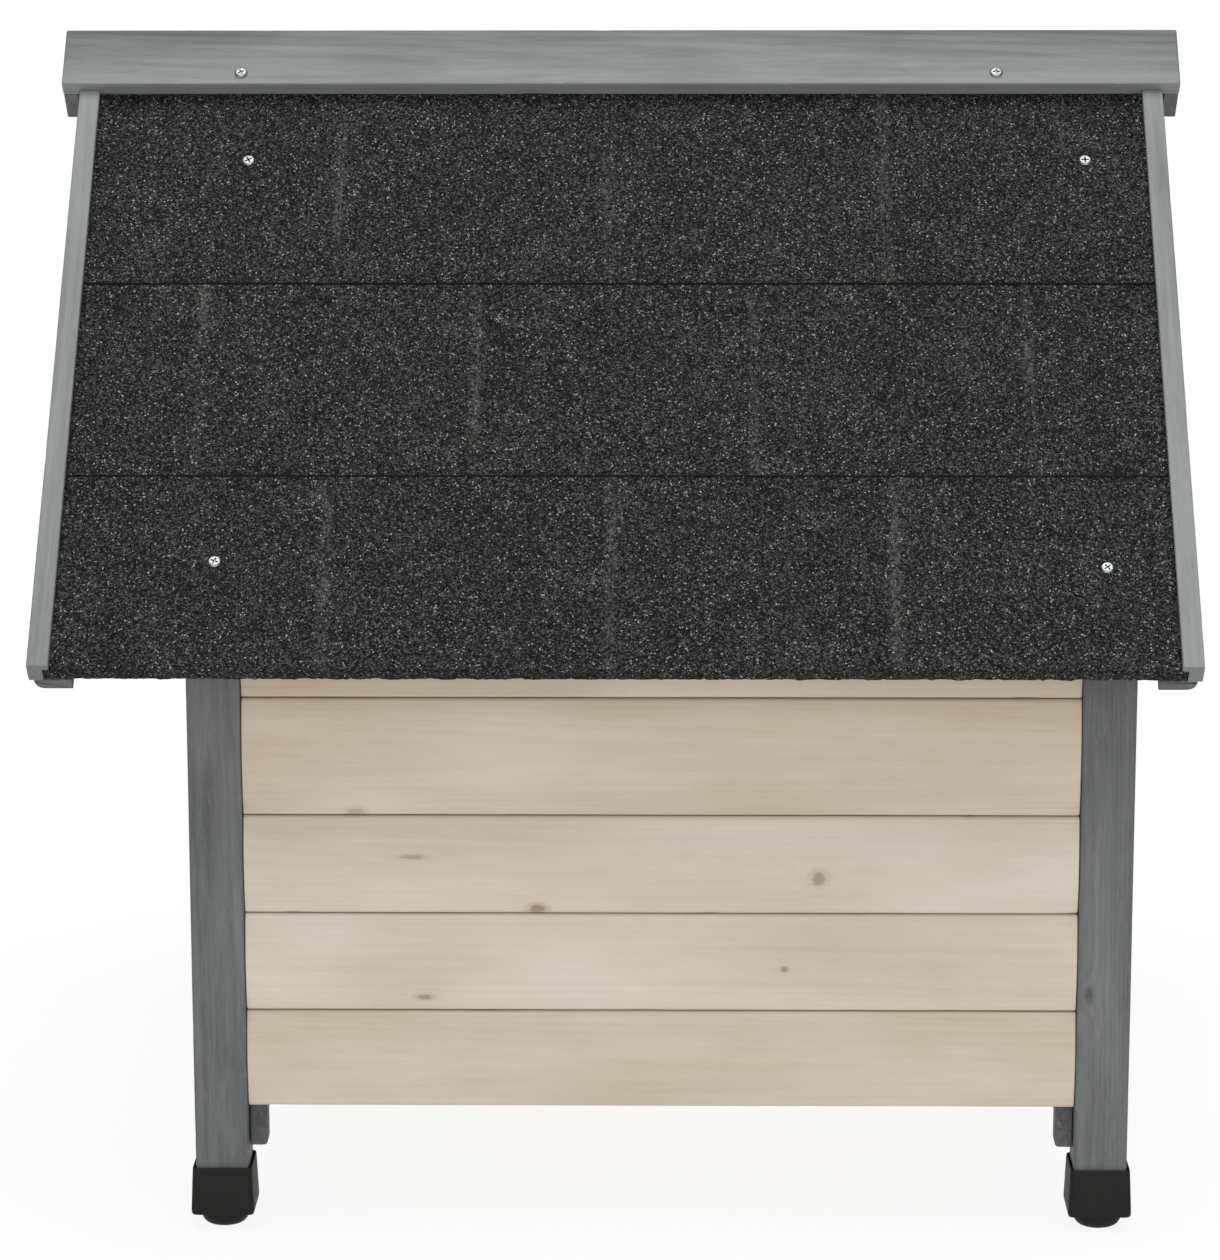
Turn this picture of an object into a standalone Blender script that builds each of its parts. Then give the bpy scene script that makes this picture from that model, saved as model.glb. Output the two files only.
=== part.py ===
"""Rabbit hutch: a small timber house with a felted saddle roof, on four posts with screw feet.

Units are metres and +Z is up.  X runs along the ridge and the front gable, with the door, is
at -X.  Right and left are as seen by someone who faces the door, so right is -Y.  The origin
is on the ground, under the middle of the ridge.
"""

import math

import bmesh
import bpy
from mathutils import Matrix, Vector

GAP = 0.0003              # clearance between pieces that touch

# Posts and screw feet
POST = 0.035              # side of the square posts
POST_ARRIS = 0.0022       # rounding of the post's long edges
FRONT_POST_FACE = -0.277  # outer X of the front posts
REAR_POST_FACE = 0.3346   # outer X of the rear posts
POST_FACE = 0.2835        # outer Y of the posts
CAP = 0.0415              # side of the square plastic caps at the bottom
CAP_RIM = 0.0390          # and at the rim, because their walls draw in upwards
CAP_CORNER = 0.0035
CAP_BOTTOM = 0.010
CAP_TOP = 0.0425
CAP_FLOOR = 0.0022
GLIDE_RADIUS = 0.016
GLIDE_FLAT = 0.0100       # radius of the flat that rests on the ground
STEM_RADIUS = 0.004
STEM_TOP = 0.048
STEM_BORE = 0.0047
BORE_TOP = 0.052

# Walls: stacked log-profile boards
BOARD = 0.0656            # height of a board
TALL_BOARD = 0.078        # height of the fourth board
WALL_BOTTOM = 0.0833
BOARD_CREST = 0.2826      # outer Y of the side boards at the crest of their profile
BOARD_BACK = 0.264        # inner Y of the side boards
BOARD_BULGE = 0.0030      # how far the crest stands out over the board's edges
BOARD_ROUND = 0.0028      # rounding of the board's long edges
FRONT_WALL_FACE = -0.264  # crest of the front gable's boards
REAR_WALL_FACE = 0.3216   # crest of the rear gable's boards
WALL_THICKNESS = 0.014

# Floor
BEARER_THICKNESS = 0.0117
BEARER_BOTTOM = 0.054
BEARER_REACH = 0.272      # outer Y of the bearers' ends
BEARER_ROUND = 0.0035
BEARER_SPAN = 0.0755      # height of the bearers' underside between their two end lugs
BEARER_LUG = 0.015        # length of a lug along Y
FLOOR_THICKNESS = 0.012

# Roof: a 45 degree saddle, with slope distances measured from the line where the undersides meet
PITCH = math.radians(45.0)
ROOF_APEX = 0.7305
EAVE = 0.4895             # slope distance to the lower end of the roof
PANEL = 0.009
PANEL_SIDE = 0.3585       # half of the roof panel's length
FELT_BASE = PANEL + GAP
FELT_TOP = 0.0115
FELT_SIDE = 0.3582
FELT_FOLD = 0.0022        # felt folded down over the panel's lower end
FELT_LAP = 0.030          # overlap of one course on the next
FELT_HEAD = 0.0008        # thickness of the tucked head of a course
FELT_STEP = 0.0009        # step at the lower edge of a course
COURSE_LINES = (0.3406, 0.1852)
VERGE_OUTER = 0.3685
VERGE_WEB = 0.0097
VERGE_LIP = 0.0044
VERGE_DEPTH = 0.0174
VERGE_ARRIS = 0.0011
BATTEN_OUTER = 0.3652
BATTEN_WIDTH = 0.024
BATTEN_DEPTH = 0.0096
BATTEN_ROUND = 0.0075
RIDGE_HALF = 0.380
RIDGE_WIDTH = 0.048
RIDGE_THICKNESS = 0.012
RIDGE_UNDER = FELT_TOP + GAP
RIDGE_OUTER = RIDGE_UNDER + RIDGE_THICKNESS
RIDGE_EDGE = RIDGE_WIDTH - RIDGE_OUTER
END_PLATE = 0.010         # thickness of the plates under the ridge ends
END_PLATE_DROP = 0.024

# Door
DOORWAY_HALF = 0.120
DOORWAY_BOTTOM = WALL_BOTTOM + BOARD
DOORWAY_TOP = WALL_BOTTOM + 4.0 * BOARD + TALL_BOARD
DOOR_FACE = -0.280
DOOR_THICKNESS = 0.015
DOOR_HALF = 0.140
DOOR_LAP = 0.020          # how far the door covers the wall round the doorway
DOOR_BOTTOM = DOORWAY_BOTTOM - DOOR_LAP
DOOR_TOP = DOORWAY_TOP + DOOR_LAP
STILE = 0.034
REBATE = 0.006            # rebate that holds the wire mesh
REBATE_DEPTH = 0.004
DOOR_ARRIS = 0.0014
JAMB_INNER = 0.142
JAMB_OUTER = 0.170
WIRE = 0.0016
WIRE_COLUMNS = 9
WIRE_ROWS = 11

# Hinges
HINGE_Y = 0.141
HINGE_HEIGHTS = (DOOR_BOTTOM + 0.055, DOOR_TOP - 0.055)
HINGE_LENGTH = 0.050
LEAF = 0.0014
LEAF_WIDTH = 0.026
KNUCKLE_RADIUS = 0.0026
KNUCKLE_MIDDLE = 0.018
KNUCKLE_NOTCH = 0.0032
HINGE_X = DOOR_FACE - GAP - KNUCKLE_RADIUS
PIN_RADIUS = 0.0013
PIN_BORE = 0.0016
PIN_HEAD = 0.0022

# Sliding bolt
BOLT_HEIGHT = 0.300
ROD_RADIUS = 0.0025
ROD_X = DOOR_FACE - GAP - LEAF - GAP - ROD_RADIUS - 0.0004
ROD_DRAWN = -0.1385       # tip of the rod when the bolt is drawn back
ROD_INNER = -0.0965
BRIDGE_RADIUS = 0.0046
BRIDGE = 0.005
BOLT_PLATE = (-0.1385, -0.1075)
BOLT_BRIDGES = (-0.1365, -0.1145)
BOLT_PLATE_HALF = 0.013
KNOB_Y = -0.1168
KNOB_REACH = 0.0135
KNOB_RADIUS = 0.0019
KNOB_BALL = 0.0028
KEEPER_PLATE = (-0.1685, -0.1445)
KEEPER_BRIDGE = -0.1535
KEEPER_LENGTH = 0.008
KEEPER_BORE = 0.0034


def remove_everything():
    for obj in list(bpy.data.objects):
        bpy.data.objects.remove(obj, do_unlink=True)


def make_material(name, rgb, roughness, metallic=0.0):
    """A Principled material from an sRGB colour given as three values from 0 to 255."""
    material = bpy.data.materials.new(name)
    material.use_nodes = True
    shader = material.node_tree.nodes["Principled BSDF"]
    linear = []
    for value in rgb:
        share = value / 255.0
        linear.append(((share + 0.055) / 1.055) ** 2.4)
    shader.inputs["Base Color"].default_value = (*linear, 1.0)
    shader.inputs["Roughness"].default_value = roughness
    shader.inputs["Metallic"].default_value = metallic
    material.diffuse_color = (*linear, 1.0)
    return material


def loft(name, loops, material=None, ring=False):
    """One closed body through loops of equal length, capped at both ends or joined as a ring."""
    mesh = bpy.data.meshes.new(name)
    shape = bmesh.new()
    rows = []
    for loop in loops:
        rows.append([shape.verts.new(point) for point in loop])
    count = len(rows[0])
    if ring:
        pairs = list(zip(rows, rows[1:] + rows[:1]))
    else:
        pairs = list(zip(rows, rows[1:]))
        shape.faces.new(rows[0])
        shape.faces.new(rows[-1])
    for lower, upper in pairs:
        for i in range(count):
            j = (i + 1) % count
            shape.faces.new((lower[i], lower[j], upper[j], upper[i]))
    bmesh.ops.recalc_face_normals(shape, faces=shape.faces)
    shape.to_mesh(mesh)
    shape.free()
    return add_object(name, mesh, material)


def add_object(name, mesh, material=None):
    obj = bpy.data.objects.new(name, mesh)
    bpy.context.scene.collection.objects.link(obj)
    if material is not None:
        mesh.materials.append(material)
    return obj


def prism(name, outline, start, end, axis, material=None):
    """Extrude an outline along an axis; the outline holds the other two coordinates in order."""
    loops = []
    for distance in (start, end):
        loop = []
        for first, second in outline:
            point = [first, second]
            point.insert("XYZ".index(axis), distance)
            loop.append(point)
        loops.append(loop)
    return loft(name, loops, material)


def block(name, low, high, material=None):
    outline = rectangle(low[0], high[0], low[1], high[1])
    return prism(name, outline, low[2], high[2], "Z", material)


def rectangle(left, right, bottom, top):
    return [(left, bottom), (right, bottom), (right, top), (left, top)]


def circle(radius, count, centre=(0.0, 0.0), phase=0.0):
    points = []
    for i in range(count):
        angle = phase + 2.0 * math.pi * i / count
        x = centre[0] + radius * math.cos(angle)
        y = centre[1] + radius * math.sin(angle)
        points.append((x, y))
    return points


def rounded_square(side, radius, centre, steps=5):
    """A square with rounded corners, of 4 x (steps + 1) points."""
    points = []
    reach = side / 2.0 - radius
    corners = ((reach, reach), (-reach, reach), (-reach, -reach), (reach, -reach))
    for quarter, (x, y) in enumerate(corners):
        for step in range(steps + 1):
            angle = math.pi / 2.0 * (quarter + step / steps)
            points.append((centre[0] + x + radius * math.cos(angle),
                           centre[1] + y + radius * math.sin(angle)))
    return points


def at_height(outline, z):
    return [(x, y, z) for x, y in outline]


def shade_round(obj, degrees=40.0):
    obj.data.shade_smooth()
    obj.data.set_sharp_from_angle(angle=math.radians(degrees))


def ease_edges(obj, width, segments=2):
    """Round the outward edges of a piece and leave its inside corners sharp."""
    shape = bmesh.new()
    shape.from_mesh(obj.data)
    weight = shape.edges.layers.float.new("bevel_weight_edge")
    for edge in shape.edges:
        if edge.is_convex and edge.calc_face_angle() > math.radians(50.0):
            edge[weight] = 1.0
    shape.to_mesh(obj.data)
    shape.free()
    bevel = obj.modifiers.new("eased_edges", "BEVEL")
    bevel.width = width
    bevel.segments = segments
    bevel.limit_method = "WEIGHT"


def boolean(obj, other, operation):
    """Join or cut with another object, which is then hidden as a construction shape."""
    modifier = obj.modifiers.new(operation.lower(), "BOOLEAN")
    modifier.operation = operation
    modifier.object = other
    other.hide_render = True
    other.display_type = "WIRE"


def set_origin(obj, point, parent=None):
    """Move the object's origin to a point, and hang it on its parent empty if it has one."""
    obj.data.transform(Matrix.Translation(-Vector(point)))
    obj.location = point
    if parent is not None:
        obj.parent = parent
        obj.location = Vector(point) - parent.location


def add_empty(name, point):
    empty = bpy.data.objects.new(name, None)
    empty.location = point
    bpy.context.scene.collection.objects.link(empty)
    return empty


def slope_point(side, down, out):
    """Y and Z at a distance down the slope and out above the roof's underside."""
    y = side * (down * math.cos(PITCH) + out * math.sin(PITCH))
    z = ROOF_APEX - down * math.sin(PITCH) + out * math.cos(PITCH)
    return y, z


def slope_outline(side, points):
    return [slope_point(side, down, out) for down, out in points]


def mitre(out):
    """Slope distance of the vertical plane beside the ridge, at a height above the underside."""
    return GAP / (2.0 * math.cos(PITCH)) - out * math.tan(PITCH)


def roof_underside(y):
    """Height just under the roof at a given Y, clear of the roof panel."""
    return ROOF_APEX - abs(y) * math.tan(PITCH) - GAP / math.cos(PITCH)


def board_lines():
    """Heights of the joints between boards, from the bottom of the wall to above the ridge."""
    lines = [WALL_BOTTOM]
    for height in (BOARD, BOARD, BOARD, TALL_BOARD):
        lines.append(lines[-1] + height)
    while lines[-1] < ROOF_APEX:
        lines.append(lines[-1] + BOARD)
    return lines


def board_face(bottom, top, round_top=True, steps=8):
    """Depth behind the crest and height along a board's face, from its bottom to its top."""
    low = bottom + GAP / 2.0
    high = top - GAP / 2.0
    middle = (low + high) / 2.0
    half = (high - low) / 2.0
    face = []
    for step in range(4):
        angle = math.pi / 2.0 * step / 3.0
        depth = BOARD_ROUND * (1.0 - math.sin(angle))
        face.append((BOARD_BULGE + depth, low + BOARD_ROUND * (1.0 - math.cos(angle))))
    for step in range(1, steps):
        share = 2.0 * step / steps - 1.0
        face.append((BOARD_BULGE * share ** 2, middle + share * (half - BOARD_ROUND)))
    if round_top:
        for depth, height in reversed(face[:4]):
            face.append((depth, low + high - height))
    else:
        face.append((BOARD_BULGE, high))
    return face


def make_posts(material):
    rear_x = REAR_POST_FACE - POST / 2.0
    front_x = FRONT_POST_FACE + POST / 2.0
    centre_y = POST_FACE - POST / 2.0
    for end, x in (("front", front_x), ("rear", rear_x)):
        for hand, side in (("right", -1), ("left", 1)):
            centre = (x, side * centre_y)
            square = rounded_square(POST, POST_ARRIS, centre)
            phase = 2.0 * math.pi / (2.0 * len(square))
            bore = circle(STEM_BORE, len(square), centre, phase)
            foot = CAP_BOTTOM + CAP_FLOOR + GAP
            top = [(px, py, roof_underside(py)) for px, py in square]
            loops = [at_height(bore, BORE_TOP), at_height(bore, foot), at_height(square, foot), top]
            post = loft(f"post_{end}_{hand}", loops, material)
            shade_round(post)
            make_foot(f"{end}_{hand}", centre)


def make_foot(place, centre):
    """The square cap on the post's end, and the round glide on its threaded stem."""
    outer = rounded_square(CAP, CAP_CORNER, centre)
    rim = rounded_square(CAP_RIM, CAP_CORNER, centre)
    inner = rounded_square(POST + 2.0 * GAP, POST_ARRIS, centre)
    phase = 2.0 * math.pi / (2.0 * len(outer))
    hole = circle(STEM_BORE, len(outer), centre, phase)
    floor = CAP_BOTTOM + CAP_FLOOR
    loops = [at_height(outer, CAP_BOTTOM), at_height(rim, CAP_TOP), at_height(inner, CAP_TOP),
             at_height(inner, floor), at_height(hole, floor), at_height(hole, CAP_BOTTOM)]
    cap = loft(f"foot_cap_{place}", loops, MATERIALS["plastic"], ring=True)
    shade_round(cap)

    shoulder = CAP_BOTTOM - GAP
    edge = shoulder - 0.0012
    profile = [(STEM_RADIUS, STEM_TOP), (STEM_RADIUS, shoulder), (GLIDE_RADIUS, shoulder)]
    steps = 6
    for step in range(steps + 1):
        angle = math.pi / 2.0 * step / steps
        radius = GLIDE_FLAT + (GLIDE_RADIUS - GLIDE_FLAT) * math.cos(angle)
        profile.append((radius, edge * (1.0 - math.sin(angle))))
    loops = []
    for radius, z in profile:
        loops.append(at_height(circle(radius, 24, centre), z))
    glide = loft(f"foot_glide_{place}", loops, MATERIALS["plastic"])
    shade_round(glide)
    set_origin(glide, (centre[0], centre[1], 0.0))


def make_side_boards(material):
    lines = board_lines()
    start = FRONT_POST_FACE + POST + GAP
    end = REAR_POST_FACE - POST - GAP
    top_line = roof_underside(BOARD_CREST - BOARD_BULGE)
    for hand, side in (("right", -1), ("left", 1)):
        for number in range(5):
            last = number == 4
            top = top_line + GAP / 2.0 if last else lines[number + 1]
            outline = []
            for depth, z in board_face(lines[number], top, round_top=not last):
                outline.append((side * (BOARD_CREST - depth), z))
            back_top = roof_underside(BOARD_BACK) if last else top - GAP / 2.0
            outline.append((side * BOARD_BACK, back_top))
            outline.append((side * BOARD_BACK, lines[number] + GAP / 2.0))
            board = prism(f"side_board_{hand}_{number + 1}", outline, start, end, "X", material)
            shade_round(board)


def make_gable(name, face, inward, material):
    """A gable wall of joined boards, as wide as the posts leave and cut to the roof's slopes."""
    lines = board_lines()
    outline = []
    for bottom, top in zip(lines, lines[1:]):
        for depth, z in board_face(bottom, top, steps=6):
            outline.append((face + inward * depth, z))
    back = face + inward * WALL_THICKNESS
    outline.append((back, lines[-1] - GAP / 2.0))
    outline.append((back, lines[0] + GAP / 2.0))
    half = POST_FACE - POST - GAP
    wall = prism(name, outline, -half, half, "Y", material)
    gable = [(-half - 0.01, 0.0), (half + 0.01, 0.0), (half + 0.01, roof_underside(half + 0.01)),
             (0.0, roof_underside(0.0)), (-half - 0.01, roof_underside(half + 0.01))]
    low, high = sorted((face - inward * 0.01, back + inward * 0.01))
    boolean(wall, prism(f"{name}_outline", gable, low, high, "X"), "INTERSECT")
    return wall


def make_walls(material):
    make_side_boards(material)
    rear = make_gable("rear_wall", REAR_WALL_FACE, -1, material)
    front = make_gable("front_wall", FRONT_WALL_FACE, 1, material)
    low = (FRONT_WALL_FACE - 0.01, -DOORWAY_HALF, DOORWAY_BOTTOM)
    high = (FRONT_WALL_FACE + WALL_THICKNESS + 0.01, DOORWAY_HALF, DOORWAY_TOP)
    boolean(front, block("doorway", low, high), "DIFFERENCE")
    for wall in (rear, front):
        shade_round(wall)


def make_floor(wood, floor_material):
    """Two cross bearers beside the posts, and the floor that lies on them between the walls."""
    top = WALL_BOTTOM - GAP
    front_x = FRONT_POST_FACE + POST + GAP
    rear_x = REAR_POST_FACE - POST - GAP
    for name, post_side, inward in (("floor_bearer_front", front_x, 1),
                                    ("floor_bearer_rear", rear_x, -1)):
        inner = post_side + inward * BEARER_THICKNESS
        outline = [(post_side, top), (post_side, BEARER_BOTTOM)]
        for step in range(5):
            angle = math.pi / 2.0 * step / 4.0
            x = inner - inward * BEARER_ROUND * (1.0 - math.sin(angle))
            outline.append((x, BEARER_BOTTOM + BEARER_ROUND * (1.0 - math.cos(angle))))
        outline.append((inner, top))
        bearer = prism(name, outline, -BEARER_REACH, BEARER_REACH, "Y", wood)
        span = BEARER_REACH - BEARER_LUG
        low = (min(post_side, inner) - 0.01, -span, BEARER_BOTTOM - 0.01)
        high = (max(post_side, inner) + 0.01, span, BEARER_SPAN)
        boolean(bearer, block("span", low, high), "DIFFERENCE")
        shade_round(bearer)

    wide = BOARD_BACK - GAP
    narrow = POST_FACE - POST - GAP
    front = FRONT_WALL_FACE + WALL_THICKNESS + GAP
    rear = REAR_WALL_FACE - WALL_THICKNESS - GAP
    outline = [(front, -narrow), (front_x, -narrow), (front_x, -wide), (rear_x, -wide),
               (rear_x, -narrow), (rear, -narrow), (rear, narrow), (rear_x, narrow),
               (rear_x, wide), (front_x, wide), (front_x, narrow), (front, narrow)]
    bottom = WALL_BOTTOM + GAP
    prism("floor_panel", outline, bottom, bottom + FLOOR_THICKNESS, "Z", floor_material)


def felt_course(lower, line_above, folded):
    """Slope outline of one felt course: its head is tucked under the course above."""
    points = []
    if line_above is None:
        points.append((mitre(FELT_BASE), FELT_BASE))
    else:
        points.append((line_above - FELT_LAP + GAP, FELT_BASE))
    if folded:
        panel_end = lower - FELT_FOLD
        points += [(panel_end, FELT_BASE), (panel_end, 0.0), (lower, 0.0)]
    else:
        lap = lower - FELT_LAP
        rise = FELT_BASE + FELT_HEAD + GAP
        points += [(lap, FELT_BASE), (lap, rise), (lower, rise)]
    points.append((lower, FELT_TOP))
    if line_above is None:
        points.append((mitre(FELT_TOP), FELT_TOP))
    else:
        head = FELT_BASE + FELT_HEAD
        points += [(line_above + GAP, FELT_TOP - FELT_STEP), (line_above + GAP, head),
                   (line_above - FELT_LAP + GAP, head)]
    return points


def make_roof():
    for hand, side in (("right", -1), ("left", 1)):
        end = EAVE - FELT_FOLD - GAP
        outline = [(mitre(0.0), 0.0), (end, 0.0), (end, PANEL), (mitre(PANEL), PANEL)]
        prism(f"roof_panel_{hand}", slope_outline(side, outline), -PANEL_SIDE, PANEL_SIDE, "X",
              MATERIALS["panel"])
        courses = (("bottom", EAVE, COURSE_LINES[0], True),
                   ("middle", COURSE_LINES[0], COURSE_LINES[1], False),
                   ("top", COURSE_LINES[1], None, False))
        for name, lower, above, folded in courses:
            outline = slope_outline(side, felt_course(lower, above, folded))
            prism(f"felt_{name}_{hand}", outline, -FELT_SIDE, FELT_SIDE, "X", MATERIALS["felt"])
        for end_name, end in (("front", -1), ("rear", 1)):
            make_verge(f"{end_name}_{hand}", side, end)
    make_ridge()


def make_verge(place, side, end):
    """The rebated strip on the roof's edge and the batten under it, along one slope."""
    inner = VERGE_OUTER - VERGE_WEB
    lip = FELT_TOP + GAP
    section = [(inner, 0.0), (VERGE_OUTER, 0.0), (VERGE_OUTER, VERGE_DEPTH),
               (inner - VERGE_LIP, VERGE_DEPTH), (inner - VERGE_LIP, lip), (inner, lip)]
    loops = []
    for down in (RIDGE_EDGE + GAP, EAVE):
        loops.append([(end * x, *slope_point(side, down, out)) for x, out in section])
    strip = loft(f"verge_strip_{place}", loops, MATERIALS["grey_wood"])
    ease_edges(strip, VERGE_ARRIS)

    top = -GAP
    bottom = top - BATTEN_DEPTH
    section = [(BATTEN_OUTER - BATTEN_WIDTH, top), (BATTEN_OUTER - BATTEN_WIDTH, bottom)]
    for step in range(6):
        angle = math.pi / 2.0 * step / 5.0
        x = BATTEN_OUTER - BATTEN_ROUND * (1.0 - math.sin(angle))
        section.append((x, bottom + BATTEN_ROUND * (1.0 - math.cos(angle))))
    section.append((BATTEN_OUTER, top))
    loops = [[(end * x, *slope_point(side, mitre(out), out)) for x, out in section],
             [(end * x, *slope_point(side, EAVE, out)) for x, out in section]]
    batten = loft(f"verge_batten_{place}", loops, MATERIALS["grey_wood"])
    shade_round(batten)


def make_ridge():
    """Two boards lapped over the ridge, and a plate under them at each end."""
    for hand, side, start in (("right", -1, -RIDGE_OUTER), ("left", 1, -RIDGE_UNDER + GAP)):
        outline = [(start, RIDGE_UNDER), (RIDGE_EDGE, RIDGE_UNDER),
                   (RIDGE_EDGE, RIDGE_OUTER), (start, RIDGE_OUTER)]
        board = prism(f"ridge_board_{hand}", slope_outline(side, outline),
                      -RIDGE_HALF, RIDGE_HALF, "X", MATERIALS["grey_wood"])
        ease_edges(board, VERGE_ARRIS)
    out = RIDGE_UNDER - GAP
    edge = RIDGE_EDGE - 0.0005
    outline = [slope_point(1, -out, out), slope_point(1, edge, out),
               slope_point(1, edge, out - END_PLATE_DROP),
               slope_point(-1, edge, out - END_PLATE_DROP), slope_point(-1, edge, out)]
    for name, end in (("front", -1), ("rear", 1)):
        low, high = sorted((end * (RIDGE_HALF - END_PLATE), end * (RIDGE_HALF - 0.0003)))
        prism(f"ridge_end_plate_{name}", outline, low, high, "X", MATERIALS["grey_wood"])


def make_door():
    """The overlay door with its wire mesh, its hinges and its bolt, and the jambs beside it."""
    back = FRONT_WALL_FACE - GAP
    for hand, side in (("right", -1), ("left", 1)):
        low_y, high_y = sorted((side * JAMB_INNER, side * JAMB_OUTER))
        jamb = block(f"door_jamb_{hand}", (DOOR_FACE, low_y, DOOR_BOTTOM),
                     (back, high_y, DOOR_TOP), MATERIALS["grey_wood"])
        ease_edges(jamb, DOOR_ARRIS)

    axis = add_empty("door_axis", (HINGE_X, HINGE_Y, DOOR_BOTTOM))
    origin = (HINGE_X, HINGE_Y, DOOR_BOTTOM)
    rear = DOOR_FACE + DOOR_THICKNESS
    outer = rectangle(-DOOR_HALF, DOOR_HALF, DOOR_BOTTOM, DOOR_TOP)
    window = inset(outer, STILE)
    seat = inset(outer, STILE - REBATE)
    ledge = rear - REBATE_DEPTH
    loops = [at_x(outer, DOOR_FACE), at_x(outer, rear), at_x(seat, rear), at_x(seat, ledge),
             at_x(window, ledge), at_x(window, DOOR_FACE)]
    frame = loft("door_frame", loops, MATERIALS["grey_wood"], ring=True)
    ease_edges(frame, DOOR_ARRIS, 1)
    set_origin(frame, origin, axis)

    mesh_edge = inset(seat, GAP)
    wires = make_lattice("door_mesh", mesh_edge, ledge + GAP, ledge + GAP + WIRE)
    set_origin(wires, origin, axis)
    for name, height in zip(("lower", "upper"), HINGE_HEIGHTS):
        make_hinge(name, height, axis)
    make_bolt(axis)


def inset(outline, distance):
    (left, bottom), (right, top) = outline[0], outline[2]
    return rectangle(left + distance, right - distance, bottom + distance, top - distance)


def at_x(outline, x):
    return [(x, y, z) for y, z in outline]


def make_lattice(name, outline, front, back):
    """A flat welded lattice of square wires, as one body."""
    (left, bottom), (right, top) = outline[0], outline[2]
    columns = wire_edges(left, right, WIRE_COLUMNS)
    rows = wire_edges(bottom, top, WIRE_ROWS)
    mesh = bpy.data.meshes.new(name)
    shape = bmesh.new()
    grid = []
    for z in rows:
        grid.append([shape.verts.new((front, y, z)) for y in columns])
    for i in range(len(rows) - 1):
        for j in range(len(columns) - 1):
            if i % 2 == 1 and j % 2 == 1:
                continue
            shape.faces.new((grid[i][j], grid[i][j + 1], grid[i + 1][j + 1], grid[i + 1][j]))
    faces = list(shape.faces)
    made = bmesh.ops.extrude_face_region(shape, geom=faces, use_keep_orig=True)
    moved = [item for item in made["geom"] if isinstance(item, bmesh.types.BMVert)]
    bmesh.ops.translate(shape, verts=moved, vec=(back - front, 0.0, 0.0))
    bmesh.ops.recalc_face_normals(shape, faces=shape.faces)
    shape.to_mesh(mesh)
    shape.free()
    return add_object(name, mesh, MATERIALS["zinc"])


def wire_edges(start, end, count):
    """The two edges of each of the wires, evenly spaced from start to end."""
    edges = []
    pitch = (end - start - WIRE) / (count - 1)
    for i in range(count):
        edges += [start + i * pitch, start + i * pitch + WIRE]
    return edges


def make_hinge(name, height, axis):
    """A butt hinge on the door's face: one leaf on the jamb, one on the door, and the pin."""
    bottom = height - HINGE_LENGTH / 2.0
    top = height + HINGE_LENGTH / 2.0
    low_joint = height - KNUCKLE_MIDDLE / 2.0
    high_joint = height + KNUCKLE_MIDDLE / 2.0
    play = GAP / 2.0
    middle = ((low_joint + play, high_joint - play),)
    ends = ((bottom, low_joint - play), (high_joint + play, top))
    origin = (HINGE_X, HINGE_Y, height)
    make_leaf(f"hinge_jamb_leaf_{name}", 1, bottom, top, ends)
    door_leaf = make_leaf(f"hinge_door_leaf_{name}", -1, bottom, top, middle)
    set_origin(door_leaf, (HINGE_X, HINGE_Y, DOOR_BOTTOM), axis)

    head = PIN_HEAD * 0.5
    profile = [(PIN_RADIUS, bottom - GAP - head), (PIN_HEAD, bottom - GAP - head * 0.6),
               (PIN_HEAD, bottom - GAP), (PIN_RADIUS, bottom - GAP), (PIN_RADIUS, top + GAP),
               (PIN_HEAD, top + GAP), (PIN_HEAD, top + GAP + head * 0.6),
               (PIN_RADIUS, top + GAP + head)]
    loops = []
    for radius, z in profile:
        loops.append(at_height(circle(radius, 16, origin[:2]), z))
    pin = loft(f"hinge_pin_{name}", loops, MATERIALS["zinc"])
    shade_round(pin)


def make_leaf(name, side, bottom, top, knuckles):
    """A leaf with its knuckles; side is 1 for the jamb's leaf and -1 for the door's."""
    outside = DOOR_FACE - GAP - LEAF
    inside = DOOR_FACE - GAP
    near = HINGE_Y + side * KNUCKLE_NOTCH
    far = HINGE_Y + side * LEAF_WIDTH
    low, high = sorted((near, far))
    leaf = block(name, (outside, low, bottom), (inside, high, top), MATERIALS["zinc"])
    for number, (start, end) in enumerate(knuckles):
        outline = []
        for step in range(13):
            angle = math.radians(-15.0 * step)
            x = HINGE_X + KNUCKLE_RADIUS * math.cos(angle)
            y = HINGE_Y + side * KNUCKLE_RADIUS * math.sin(angle)
            outline.append((x, y))
        outline.append((outside, HINGE_Y + side * KNUCKLE_RADIUS))
        outline.append((outside, near + side * GAP))
        outline.append((inside, near + side * GAP))
        knuckle = prism(f"{name}_knuckle_{number}", outline, start, end, "Z")
        boolean(leaf, knuckle, "UNION")
    bore = prism(f"{name}_bore", circle(PIN_BORE, 16, (HINGE_X, HINGE_Y)),
                 bottom - 0.002, top + 0.002, "Z")
    boolean(leaf, bore, "DIFFERENCE")
    shade_round(leaf, 30.0)
    return leaf


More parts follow.
